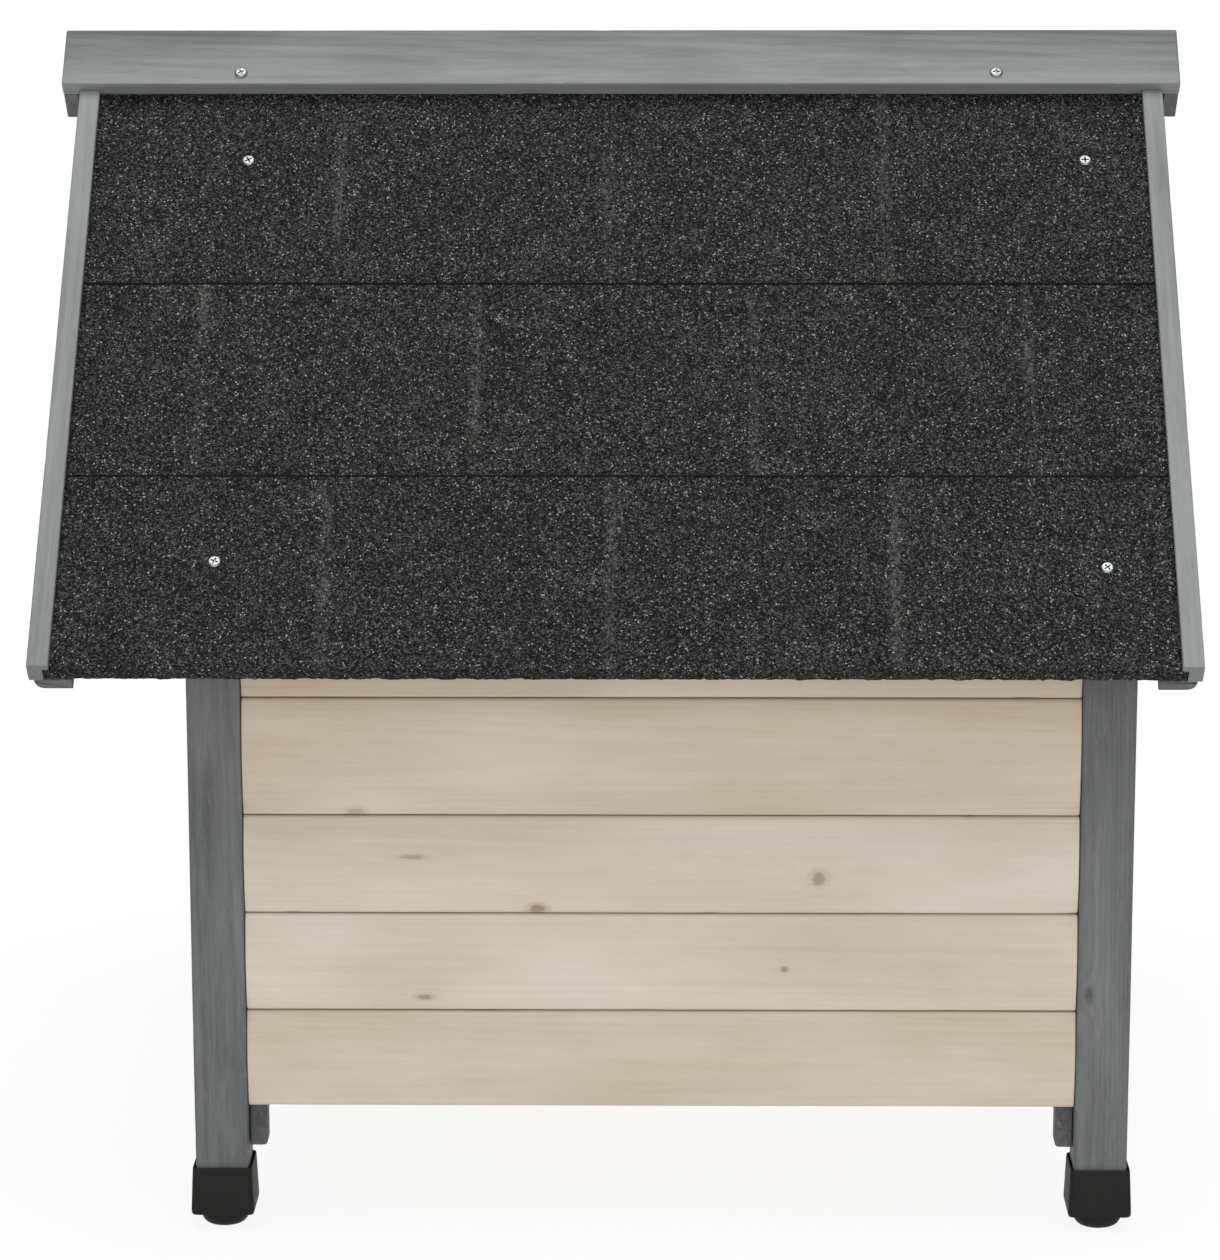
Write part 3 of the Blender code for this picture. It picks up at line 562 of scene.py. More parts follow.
def stained_wood(name, light, shade, raw, knot, depths, swirl, ring_width, roughness, wear):
    """Planed spruce under a thin finish, as a solid texture in the wood's own grain space.

    depths holds how strongly the rings, streaks, fibres and clouds darken the finish, and swirl
    how far the rings bend round a knot.
    """
    material, shader = new_material(name)
    tree = material.node_tree
    grain = node(tree, "Attribute", attribute_name="grain").outputs["Vector"]

    def stretched(x, y, detail, rough=0.5):
        scaled = node(tree, "VectorMath", {0: grain, 1: (x, y, y)},
                      operation="MULTIPLY")
        return node(tree, "TexNoise",
                    {"Vector": scaled.outputs[0], "Scale": 1.0, "Detail": detail,
                     "Roughness": rough}).outputs["Fac"]

    warp = stretched(3.0, 26.0, 2.0)
    streak = stretched(6.0, 210.0, 3.0)          # streaks about 5 mm wide and 150 mm long
    fibre = stretched(60.0, 1100.0, 2.0, 0.6)    # fibres, drawn at 1 mm so that they show
    cloud = stretched(6.0, 16.0, 3.0)            # patches of 60 to 150 mm
    around = node(tree, "VectorMath", {0: grain, 1: (0.0, 1.0, 1.0)},
                  operation="MULTIPLY")
    radius = node(tree, "VectorMath", {0: around.outputs[0]}, operation="LENGTH")
    depth = total(tree, (radius.outputs["Value"], 1.0, 0.0), (warp, 0.007, -0.5))
    spots = []
    for number in (1, 2, 3):
        held = node(tree, "Attribute", attribute_name=f"knot_{number}")
        flat = node(tree, "VectorMath",
                    {0: held.outputs["Vector"], 1: (1.0, 1.0, 0.0)}, operation="MULTIPLY")
        away = node(tree, "VectorMath", {0: flat.outputs[0]}, operation="LENGTH")
        parts = node(tree, "SeparateXYZ", {0: held.outputs["Vector"]})
        reach = total(tree, (away.outputs["Value"], 1.0, 0.0), (fibre, 1.1, -0.5))
        spots.append((reach, parts.outputs["Z"]))
        squared = node(tree, "Math", {0: away.outputs["Value"], 1: 2.0},
                       operation="POWER")
        fade = node(tree, "Math", {0: squared.outputs[0], 1: -0.22},
                    operation="MULTIPLY")
        swell = node(tree, "Math", {0: fade.outputs[0]}, operation="EXPONENT")
        depth = node(tree, "Math", {0: swell.outputs[0], 1: swirl, 2: depth},
                     operation="MULTIPLY_ADD").outputs[0]
    turns = node(tree, "Math", {0: depth, 1: 1.0 / ring_width}, operation="MULTIPLY")
    phase = node(tree, "Math", {0: turns.outputs[0]}, operation="FRACT")
    late = node(tree, "MapRange",
                {"Value": phase.outputs[0], "From Min": 0.35, "From Max": 0.95},
                interpolation_type="SMOOTHSTEP").outputs["Result"]
    tone = node(tree, "Attribute", attribute_name="tone").outputs["Fac"]
    darkness = total(tree, (late, depths[0], 0.0), (streak, depths[1], -0.5),
                     (fibre, depths[2], -0.5), (cloud, depths[3], -0.5), (tone, 1.0, 0.30))
    shown = node(tree, "Mix", {0: darkness, 6: light, 7: shade}, data_type="RGBA")
    painted = shown.outputs[2]

    for reach, warmth in spots:
        present = node(tree, "Math", {0: warmth, 1: 0.01}, operation="GREATER_THAN")
        for low, high, strength, tint in ((1.25, 0.85, 0.50, knot[0]),
                                          (0.70, 0.45, 0.80, knot[1])):
            inside = node(tree, "MapRange",
                          {"Value": reach, "From Min": low, "From Max": high},
                          interpolation_type="SMOOTHSTEP")
            seen = node(tree, "Math",
                        {0: inside.outputs["Result"], 1: present.outputs[0]},
                        operation="MULTIPLY")
            eased = node(tree, "Math", {0: seen.outputs[0], 1: warmth},
                         operation="MULTIPLY")
            held = node(tree, "Math", {0: eased.outputs[0], 1: strength},
                        operation="MULTIPLY")
            painted = node(tree, "Mix",
                           {0: held.outputs[0], 6: painted, 7: tint},
                           data_type="RGBA").outputs[2]

    edge = node(tree, "Attribute", attribute_name="edge").outputs["Fac"]
    cut = node(tree, "Attribute", attribute_name="cut").outputs["Fac"]
    chips = node(tree, "MapRange",
                 {"Value": stretched(70.0, 260.0, 3.0, 0.65), "From Min": 0.60 - 0.04 * wear,
                  "From Max": 0.68 - 0.04 * wear}).outputs["Result"]
    worn = node(tree, "Math", {0: chips, 1: edge}, operation="MULTIPLY")
    bare = node(tree, "Math", {0: worn.outputs[0], 1: 0.45 * wear},
                operation="MULTIPLY")
    painted = node(tree, "Mix", {0: bare.outputs[0], 6: painted, 7: raw},
                   data_type="RGBA").outputs[2]
    ended = node(tree, "Math", {0: cut, 1: 0.14}, operation="MULTIPLY")
    painted = node(tree, "Mix", {0: ended.outputs[0], 6: painted, 7: shade},
                   data_type="RGBA").outputs[2]
    tree.links.new(painted, shader.inputs["Base Color"])

    matt = node(tree, "MapRange",
                {"Value": streak, "To Min": roughness - 0.08, "To Max": roughness + 0.08})
    tree.links.new(matt.outputs["Result"], shader.inputs["Roughness"])
    relief = total(tree, (fibre, 0.7, 0.0), (late, -0.15, 0.0), (streak, 0.5, 0.0))
    bump = node(tree, "Bump",
                {"Height": relief, "Strength": 0.30, "Distance": 0.0003})
    tree.links.new(bump.outputs["Normal"], shader.inputs["Normal"])
    shader.inputs["Specular IOR Level"].default_value = 0.35
    return material


def mineral_felt(name, roof):
    """Bitumen felt dressed with slate granules: dark, dead matt and grainy."""
    material, shader = new_material(name)
    tree = material.node_tree
    place = node(tree, "Attribute", attribute_name="slope").outputs["Vector"]
    cells = node(tree, "TexVoronoi", {"Vector": place, "Scale": 1.0 / roof.granule})
    pick = node(tree, "SeparateXYZ", {0: cells.outputs["Color"]})
    drifts = node(tree, "TexNoise",
                  {"Vector": place, "Scale": 24.0, "Detail": 4.0, "Roughness": 0.6})
    clots = node(tree, "TexNoise",
                 {"Vector": place, "Scale": 420.0, "Detail": 2.0, "Roughness": 0.6})
    grey = total(tree, (pick.outputs["X"], 1.0, -0.02), (drifts.outputs["Fac"], 0.30, -0.5),
                 (clots.outputs["Fac"], 0.6, -0.5))
    bent = node(tree, "Math", {0: grey, 1: 3.2}, operation="POWER", use_clamp=True)
    stone = node(tree, "Mix",
                 {0: bent.outputs[0], 6: roof.slate_dark, 7: roof.slate_light},
                 data_type="RGBA").outputs[2]
    pale = node(tree, "MapRange",
                {"Value": pick.outputs["Y"], "From Min": 0.972, "From Max": 0.990})
    stone = node(tree, "Mix",
                 {0: pale.outputs["Result"], 6: stone, 7: roof.fleck},
                 data_type="RGBA").outputs[2]
    scuff = node(tree, "Attribute", attribute_name="scuff").outputs["Fac"]
    rubbed = node(tree, "MapRange",
                  {"Value": clots.outputs["Fac"], "From Min": 0.40, "From Max": 0.62})
    smear = node(tree, "Math", {0: scuff, 1: rubbed.outputs["Result"]},
                 operation="MULTIPLY")
    faint = node(tree, "Math", {0: smear.outputs[0], 1: 0.27}, operation="MULTIPLY")
    stone = node(tree, "Mix", {0: faint.outputs[0], 6: stone, 7: roof.fleck},
                 data_type="RGBA").outputs[2]
    rim = node(tree, "Attribute", attribute_name="rim").outputs["Fac"]
    stone = node(tree, "Mix", {0: rim, 6: stone, 7: roof.bitumen},
                 data_type="RGBA").outputs[2]
    tree.links.new(stone, shader.inputs["Base Color"])
    shader.inputs["Roughness"].default_value = 0.92
    shader.inputs["Specular IOR Level"].default_value = 0.12
    heap = total(tree, (cells.outputs["Distance"], -1.0, 0.0),
                 (clots.outputs["Fac"], 0.6, 0.0))
    bump = node(tree, "Bump",
                {"Height": heap, "Strength": 0.7, "Distance": 0.0007})
    tree.links.new(bump.outputs["Normal"], shader.inputs["Normal"])
    return material


def plywood(name, face):
    """Rotary-cut spruce plywood: broad soft figure on the face and thin plies at the edge."""
    material, shader = new_material(name)
    tree = material.node_tree
    place = node(tree, "TexCoord").outputs["Object"]
    scaled = node(tree, "VectorMath", {0: place, 1: (5.0, 30.0, 30.0)},
                  operation="MULTIPLY")
    figure = node(tree, "TexNoise",
                  {"Vector": scaled.outputs[0], "Scale": 1.0, "Detail": 3.0,
                   "Distortion": 1.2})
    fine = node(tree, "VectorMath", {0: place, 1: (60.0, 900.0, 900.0)},
                operation="MULTIPLY")
    fibre = node(tree, "TexNoise", {"Vector": fine.outputs[0], "Scale": 1.0})
    bands = node(tree, "Math", {0: figure.outputs["Fac"], 1: 14.0},
                 operation="MULTIPLY")
    wave = node(tree, "Math", {0: bands.outputs[0], 1: 1.0}, operation="PINGPONG")
    amount = total(tree, (wave.outputs[0], 0.45, 0.0), (fibre.outputs["Fac"], 0.5, -0.5))
    dark = [channel * 0.62 for channel in face[:3]] + [1.0]
    veneer = node(tree, "Mix", {0: amount, 6: face, 7: dark}, data_type="RGBA")
    tree.links.new(veneer.outputs[2], shader.inputs["Base Color"])
    shader.inputs["Roughness"].default_value = 0.7
    bump = node(tree, "Bump",
                {"Height": fibre.outputs["Fac"], "Strength": 0.3, "Distance": 0.0003})
    tree.links.new(bump.outputs["Normal"], shader.inputs["Normal"])
    return material


def speckled(name, base, shade, grit, roughness, metallic, relief):
    """An even finish with a fine grit of its own: moulded plastic or plated steel."""
    material, shader = new_material(name)
    tree = material.node_tree
    place = node(tree, "TexCoord").outputs["Object"]
    grain = node(tree, "TexNoise",
                 {"Vector": place, "Scale": 1.0 / grit, "Detail": 3.0})
    patch = node(tree, "TexNoise",
                 {"Vector": place, "Scale": 0.12 / grit, "Detail": 2.0})
    blend = total(tree, (grain.outputs["Fac"], 0.5, 0.0), (patch.outputs["Fac"], 0.5, 0.0))
    spread = node(tree, "MapRange",
                  {"Value": blend, "From Min": 0.35, "From Max": 0.65}).outputs["Result"]
    tinted = node(tree, "Mix", {0: spread, 6: base, 7: shade}, data_type="RGBA")
    tree.links.new(tinted.outputs[2], shader.inputs["Base Color"])
    matt = node(tree, "MapRange",
                {"Value": spread, "To Min": roughness * 0.85, "To Max": roughness * 1.15})
    tree.links.new(matt.outputs["Result"], shader.inputs["Roughness"])
    shader.inputs["Metallic"].default_value = metallic
    if not metallic:
        shader.inputs["Specular IOR Level"].default_value = 0.18
    bump = node(tree, "Bump",
                {"Height": grain.outputs["Fac"], "Strength": relief, "Distance": 0.0002})
    tree.links.new(bump.outputs["Normal"], shader.inputs["Normal"])
    return material


def finish(name):
    """The material of that name, made the first time that a piece asks for it."""
    ready = bpy.data.materials.get(name)
    if ready:
        return ready
    scene = bpy.context.scene
    wood, roof, fittings = scene.hutch_timber, scene.hutch_roof, scene.hutch_fittings
    # Spruce boards planed and brushed with a thin white wash: the late wood and the knots show
    # through it as low warm streaks, and the surface stays matt.
    if name == "whitewashed_spruce":
        return stained_wood(name, wood.wash_colour, wood.wash_shade, wood.raw_colour,
                            (linear("a5927c"), linear("806b58")), (0.06, 0.30, 0.26, 1.10),
                            0.004, wood.ring_width, 0.66, 0.25)
    # Planed spruce under a translucent grey stain: cloudy and streaked, darker in the late wood,
    # with bare wood where an edge has been knocked.
    if name == "grey_stained_spruce":
        return stained_wood(name, wood.stain_colour, wood.stain_shade, wood.raw_colour,
                            (linear("4a4c49"), linear("3b3a36")), (0.10, 0.50, 0.50, 1.20),
                            0.004, wood.ring_width, 0.60, 0.35)
    if name == "slate_granule_felt":
        return mineral_felt(name, roof)
    if name == "spruce_plywood":
        return plywood(name, roof.ply_colour)
    # Injection-moulded polypropylene with a fine spark-eroded texture: a soft dull sheen.
    if name == "moulded_black_polypropylene":
        return speckled(name, fittings.plastic_colour, linear("191a16"), 0.0009, 0.58, 0.0, 0.35)
    # Bright zinc plate on pressed steel: silvery, faintly mottled, with a soft gloss.
    if name == "zinc_plated_steel":
        return speckled(name, fittings.zinc_colour, linear("757a7c"), 0.0008, 0.42, 1.0, 0.12)
    # Hot-dip galvanised wire: paler than the plate, with a coarser surface.
    if name == "galvanised_wire":
        return speckled(name, fittings.wire_colour, linear("8f9696"), 0.0010, 0.42, 1.0, 0.30)
    raise ValueError(f"no finish is called {name}")


# ---------------------------------------------------------------- pieces

def board_section(low, high, back, round_top=True, back_top=None, steps=10):
    """Section (height, depth behind the crest, edge) of a log-profile wall board."""
    low += GAP / 2.0
    high -= GAP / 2.0
    middle = (low + high) / 2.0
    half = (high - low) / 2.0
    face = []
    for number in range(5):
        angle = math.pi / 2.0 * number / 4.0
        depth = BOARD_BULGE + BOARD_ROUND * (1.0 - math.sin(angle))
        face.append((low + BOARD_ROUND * (1.0 - math.cos(angle)), depth, 1.0))
    foot = list(face)
    for number in range(1, steps):
        share = 2.0 * number / steps - 1.0
        face.append((middle + share * (half - BOARD_ROUND), BOARD_BULGE * share ** 2, 0.0))
    if round_top:
        for height, depth, edge in reversed(foot):
            face.append((low + high - height, depth, edge))
    else:
        face.append((high, BOARD_BULGE, 0.0))
    top = high if back_top is None else back_top
    ease = 0.0008
    face += [(top, back - ease, 0.0), (top - ease, back, 0.0), (low + ease, back, 0.0),
             (low, back - ease, 0.0)]
    return face


def board_lines():
    """Heights of the joints between boards, from the bottom of the wall to above the ridge."""
    lines = [WALL_BOTTOM]
    for height in (BOARD, BOARD, BOARD, TALL_BOARD):
        lines.append(lines[-1] + height)
    while lines[-1] < ROOF_APEX:
        lines.append(lines[-1] + BOARD)
    return lines


# Knots of the right-hand boards: (X, height, half length, half height, warmth)
RIGHT_KNOTS = {
    1: (),
    2: ((-0.1250, 0.1584, 0.0085, 0.0026, 0.80), (0.1090, 0.1781, 0.0036, 0.0026, 0.85),),
    3: ((-0.1321, 0.2531, 0.0130, 0.0024, 0.60), (0.1311, 0.2391, 0.0070, 0.0066, 0.70),
        (-0.0517, 0.2180, 0.0082, 0.0048, 0.90)),
    4: ((-0.1684, 0.2820, 0.0090, 0.0046, 0.50),),
    5: (),
}
RIGHT_TONES = {1: 0.12, 2: -0.06, 3: -0.12, 4: 0.08, 5: 0.08}


def scattered_knots(seed, low, high, bottom, top):
    """Two or three knots at repeatable places on a board's face."""
    knots = []
    for number in range(2 + int(chance(seed, 20) > 0.5)):
        along = low + (high - low) * (0.08 + 0.84 * chance(seed, 21 + number))
        across = bottom + (top - bottom) * (0.15 + 0.7 * chance(seed, 31 + number))
        size = 0.004 + 0.005 * chance(seed, 41 + number)
        knots.append((along, across, size * 1.3, size, 0.45 + 0.4 * chance(seed, 51 + number)))
    return knots


class HUTCH_OT_side_walls(bpy.types.Operator):
    """Build the two side walls of stacked log-profile boards"""

    bl_idname = "hutch.side_walls"
    bl_label = "Side Walls"

    def execute(self, context):
        lines = board_lines()
        wood = finish("whitewashed_spruce")
        top_line = roof_underside(BOARD_CREST - BOARD_BULGE)
        for hand, side in HANDS:
            for number in range(1, 6):
                node_name = f"side_board_{hand}_{number}"
                low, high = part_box(node_name)
                last = number == 5
                bottom = lines[number - 1]
                top = top_line + GAP / 2.0 if last else lines[number]
                back_top = roof_underside(BOARD_BACK) if last else None
                section = board_section(bottom, top, BOARD_CREST - BOARD_BACK, not last,
                                        back_top)
                seed = number + (0.0 if side < 0 else 10.0)
                if side < 0:
                    knots, tone = RIGHT_KNOTS[number], RIGHT_TONES[number]
                else:
                    knots = scattered_knots(seed, low.x, high.x, bottom, top)
                    tone = 0.16 * (chance(seed, 9) - 0.5)
                stock = Stock()
                timber(stock, section, lambda a, d: low.x, lambda a, d: high.x,
                       lambda x, z, depth: (x, side * (BOARD_CREST - depth), z),
                       seed, knots, tone)
                stock.make(f"{hand}_board_{number}", wood, "house", [node_name])
        return {"FINISHED"}


class HUTCH_OT_gables(bpy.types.Operator):
    """Build the two gable walls board by board, with the doorway left in the front one"""

    bl_idname = "hutch.gables"
    bl_label = "Gable Walls"

    def execute(self, context):
        wood = finish("whitewashed_spruce")
        lines = board_lines()
        for end, face, inward in (("front", FRONT_WALL_FACE, 1), ("rear", REAR_WALL_FACE, -1)):
            for number, (low, high) in enumerate(zip(lines, lines[1:]), 1):
                last = high > ROOF_APEX
                top = roof_underside(0.0) - 0.0008 if last else high
                section = board_section(low, top, WALL_THICKNESS, not last)
                spans = [(-1, 1)]
                cut = end == "front" and DOORWAY_BOTTOM - 0.001 < low < DOORWAY_TOP - 0.01
                if cut:
                    spans = [(-1, 0), (0, 1)]
                for place, (begin, finish_side) in enumerate(spans):
                    seed = 30.0 + number + (20.0 if end == "rear" else 0.0) + 7.0 * place

                    def reach(z):
                        return min(GABLE_HALF, ROOF_APEX - z - GAP / math.cos(PITCH))

                    def start(z, depth, begin=begin):
                        return -reach(z) if begin < 0 else DOORWAY_HALF

                    def stop(z, depth, finish_side=finish_side):
                        return reach(z) if finish_side > 0 else -DOORWAY_HALF

                    left, right = start(low, 0.0), stop(low, 0.0)
                    knots = scattered_knots(seed, left, right, low, top)
                    if right - left < 0.15:
                        knots = knots[:1]
                    stock = Stock()
                    timber(stock, section, start, stop,
                           lambda y, z, depth: (face + inward * depth, y, z), seed, knots,
                           0.16 * (chance(seed, 9) - 0.5))
                    mark = f"_{'ab'[place]}" if cut else ""
                    stock.make(f"{end}_board_{number}{mark}", wood, "house",
                               [f"{end}_wall"])
        return {"FINISHED"}


class HUTCH_OT_posts(bpy.types.Operator):
    """Build the four square posts, bored at the foot for the glides' stems"""

    bl_idname = "hutch.posts"
    bl_label = "Posts"

    def execute(self, context):
        wood = finish("grey_stained_spruce")
        outline = square_outline(POST, POST_ARRIS)
        # Each corner has six points, and its two outer ones wear less than the four on the arris
        section = [(x, y, 1.0 if i % 6 not in (0, 5) else 0.4)
                   for i, (x, y) in enumerate(outline)]
        bore = circle(STEM_BORE, len(section), math.pi / len(section))
        for number, place in enumerate(CORNERS):
            node_name = f"post_{place}"
            low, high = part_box(node_name)
            middle = (low + high) / 2.0
            foot = low.z
            seed = 61.0 + number
            stock = Stock()
            lead = []
            for z in (BORE_TOP, foot):
                lead.append(stock.loop([(middle.x + x, middle.y + y, z) for x, y in bore]))
            knots = [(0.1618, -0.010, 0.006, 0.004, 0.8)] if place == "rear_right" else []
            timber(stock, section, lambda x, y: foot,
                   lambda x, y: roof_underside(middle.y + y),
                   lambda z, x, y: (middle.x + x, middle.y + y, z), seed, knots,
                   POST_TONES[place], lead_in=lead)
            stock.make(f"{place}_post", wood, "house", [node_name])
        return {"FINISHED"}


class HUTCH_OT_feet(bpy.types.Operator):
    """Build the square caps on the posts and the round glides under them"""

    bl_idname = "hutch.feet"
    bl_label = "Feet"

    def execute(self, context):
        plastic = finish("moulded_black_polypropylene")
        for place in CORNERS:
            cap_node, glide_node = f"foot_cap_{place}", f"foot_glide_{place}"
            low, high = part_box(cap_node)
            x0, y0 = (low.x + high.x) / 2.0, (low.y + high.y) / 2.0
            side = high.x - low.x
            floor = low.z + CAP_FLOOR
            rim = high.z
            mouth = side - CAP_TAPER
            rings = ((side - 0.0034, low.z), (side - 0.0014, low.z + 0.0004),
                     (side - 0.0004, low.z + 0.0015), (side, low.z + 0.0036),
                     (mouth + 0.0002, rim - 0.0020), (mouth, rim - 0.0009),
                     (mouth - 0.0003, rim - 0.0003), (mouth - 0.0009, rim),
                     (mouth - 0.0015, rim - 0.0003), (mouth - 0.0018, rim - 0.0010),
                     (mouth - 0.0019, rim - 0.008), (POST + 0.0007, floor + 0.004),
                     (POST + 0.0006, floor))
            stock = Stock()
            loops = []
            for width, z in rings:
                outline = square_outline(width, 0.0032 if width > 0.0373 else 0.0024, 6)
                loops.append(stock.loop([(x0 + x, y0 + y, z) for x, y in outline]))
            count = len(loops[0])
            for z in (floor, low.z):
                hole = circle(STEM_BORE, count, math.pi / count)
                loops.append(stock.loop([(x0 + x, y0 + y, z) for x, y in hole]))
            stock.skin(loops, ring=True)
            stock.make(f"{place}_foot_cap", plastic, "house", [cap_node])

            low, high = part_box(glide_node)
            radius = (high.x - low.x) / 2.0
            shoulder = GLIDE_SHOULDER
            profile = [(STEM_RADIUS - 0.0010, high.z), (STEM_RADIUS, high.z - 0.0010),
                       (STEM_RADIUS, shoulder),
                       (radius - 0.0012, shoulder), (radius - 0.0003, shoulder - 0.0003),
                       (radius, shoulder - 0.0011), (radius, shoulder - 0.0020)]
            for number in range(1, 9):
                angle = math.pi / 2.0 * number / 8.0
                profile.append((GLIDE_FLAT + (radius - GLIDE_FLAT) * math.cos(angle),
                                (shoulder - 0.0020) * (1.0 - math.sin(angle))))
            stock = Stock()
            lathe(stock, profile, lambda u, v, z: (x0 + u, y0 + v, z), 48)
            stock.make(f"{place}_foot_glide", plastic, f"foot_{place}",
                       [glide_node])
        return {"FINISHED"}


class HUTCH_OT_floor(bpy.types.Operator):
    """Build the two cross bearers and finish the floor panel"""

    bl_idname = "hutch.floor"
    bl_label = "Floor"

    def execute(self, context):
        wood = finish("grey_stained_spruce")
        for number, (end, inward) in enumerate((("front", 1), ("rear", -1))):
            node_name = f"floor_bearer_{end}"
            low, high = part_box(node_name)
            outer = low.x if inward > 0 else high.x
            wide = high.x - low.x
            reach = high.y - BEARER_LUG
            rail = rounded(rectangle(0.0, wide, BEARER_SPAN - high.z, 0.0), 0.0008)
            # The rail and the lugs below take the bearers' painted shade, a darkening for the
            # shade under the wall
            stock = Stock()
            timber(stock, rail, lambda a, d: -reach, lambda a, d: reach,
                   lambda y, a, d: (outer + inward * a, y, high.z + d), 71.0 + number, (),
                   BEARER_PAINTED_SHADE)
            lug = rounded([(0.0, high.z), (0.0, low.z), (wide, low.z), (wide, high.z)],
                          BEARER_ARRIS, steps=5, radii={2: BEARER_ROUND})
            for side in (-1, 1):
                timber(stock, lug, lambda a, d: side * high.y, lambda a, d: side * reach,
                       lambda y, a, d: (outer + inward * a, y, d), 73.0 + number + side, (),
                       BEARER_PAINTED_SHADE)
            stock.make(f"{end}_floor_bearer", wood, "house", [node_name])
        dress(["floor_panel"], "spruce_plywood")
        return {"FINISHED"}


def dress(names, finish_name, bevel=0.0):
    """Gives CAD nodes that are shown as they are a finish, and eases their edges a little."""
    material = finish(finish_name)
    for name in names:
        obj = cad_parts[name]
        obj.data.materials.clear()
        obj.data.materials.append(material)
        if bevel:
            eased = obj.modifiers.new("eased", "BEVEL")
            eased.width = bevel
            eased.segments = 2
            eased.limit_method = "ANGLE"
            eased.angle_limit = math.radians(50.0)


class HUTCH_OT_roof_panels(bpy.types.Operator):
    """Finish the two plywood roof panels"""

    bl_idname = "hutch.roof_panels"
    bl_label = "Roof Panels"

    def execute(self, context):
        dress(["roof_panel_right", "roof_panel_left"], "spruce_plywood")
        return {"FINISHED"}


# X of the scored tab lines in each course of felt
SCORES = {
    "bottom": (-0.185, -0.003, 0.178),
    "middle": (-0.273, -0.093, 0.089, 0.2685),
    "top": (-0.188, -0.007, 0.178),
}


def felt_stations(scores, step=0.0025):
    """X of the sections across a course, closer together at the scored lines."""
    places = set()
    count = round(2.0 * FELT_SIDE / step)
    for number in range(count + 1):
        places.add(round(-FELT_SIDE + 2.0 * FELT_SIDE * number / count, 6))
    for line in scores:
        places = {x for x in places if abs(x - line) > 0.0034}
        for shift in (-0.0030, -0.0012, -SLIT_WIDTH / 2.0, 0.0, SLIT_WIDTH / 2.0, 0.0012,
                      0.0030):
            places.add(round(line + shift, 6))
    return sorted(places)


def felt_course(name, hand, side, lower, above, folded, seed):
    """One course of felt: its head is tucked under the course above it."""
    roof = bpy.context.scene.hutch_roof
    stock = Stock()
    scores = SCORES[name]
    head = mitre(FELT_TOP) if above is None else above + GAP
    spread = 12
    loops = []
    for x in felt_stations(scores):
        ragged = 0.5 + 0.5 * noise.noise(Vector((x * 330.0, seed, 0.0)))
        ragged += 0.5 * noise.noise(Vector((x * 90.0, seed + 9.0, 0.0)))
        tip = lower - FELT_RAGGED * max(0.0, ragged)
        scored = min(abs(x - line) for line in scores)
        groove = roof.score if scored < 0.0002 else 0.0
        near = max(0.0, 1.0 - scored / SCORE_REACH)
        top = []
        for share in (0.0, 0.010, *(number / spread for number in range(1, spread + 1))):
            down = tip - 0.0008 + (head - tip + 0.0008) * share
            out = FELT_TOP - FELT_STEP * share if above is not None else FELT_TOP
            sway = noise.noise(Vector((x * 16.0, down * 16.0, seed)))
            out -= FELT_SWAY * (0.5 + 0.5 * sway) + groove * (1.0 if share < 0.97 else 0.0)
            wear = near * (0.55 + 0.9 * noise.noise(Vector((x * 60.0, down * 22.0, seed))))
            top.append((down, out, max(0.0, wear), 0.25 if share == 0.0 else 0.0))
        if above is None:
            under = [(mitre(FELT_BASE), FELT_BASE)]
        else:
            tuck = above - FELT_LAP + GAP
            lift = FELT_BASE + FELT_HEAD
            under = [(head, lift), (tuck, lift), (tuck, FELT_BASE)]
        if folded:
            panel_end = lower - FELT_FOLD
            fringe = FELT_FRINGE * max(0.0, ragged)
            under += [(panel_end, FELT_BASE), (panel_end, fringe), (tip - 0.0004, fringe)]
        else:
            lap = lower - FELT_LAP
            rise = FELT_BASE + FELT_HEAD + GAP
            under += [(lap, FELT_BASE), (lap, rise), (tip, rise)]
        rim = 0.0 if folded else 1.0
        under = [(down, out, 0.0, rim) for down, out in under]
        tipped = [(tip, FELT_TOP - 0.0011, 0.0, rim), (tip - 0.0003, FELT_TOP - 0.0004, 0.0, rim)]
        outline = top + under + tipped
        points, places, scuffs, rims = [], [], [], []
        for down, out, scuff, rim in outline:
            points.append((x, *slope_point(side, down, out)))
            places.append((x + seed, down, out))
            scuffs.append(scuff)
            rims.append(rim)
        loops.append(stock.loop(points, slope=places, scuff=scuffs, rim=rims))
    stock.skin(loops)
    stock.make(f"{hand}_felt_{name}", finish("slate_granule_felt"), "house",
               [f"felt_{name}_{hand}"], 40.0)


class HUTCH_OT_felt(bpy.types.Operator):
    """Lay the three courses of mineral felt on each slope"""

    bl_idname = "hutch.felt"
    bl_label = "Roofing Felt"

    def execute(self, context):
        for hand, side in HANDS:
            seed = 1.0 if side < 0 else 4.0
            felt_course("bottom", hand, side, EAVE, COURSE_LINES[0], True, seed)
            felt_course("middle", hand, side, COURSE_LINES[0], COURSE_LINES[1], False,
                        seed + 1.0)
            felt_course("top", hand, side, COURSE_LINES[1], None, False, seed + 2.0)
        return {"FINISHED"}


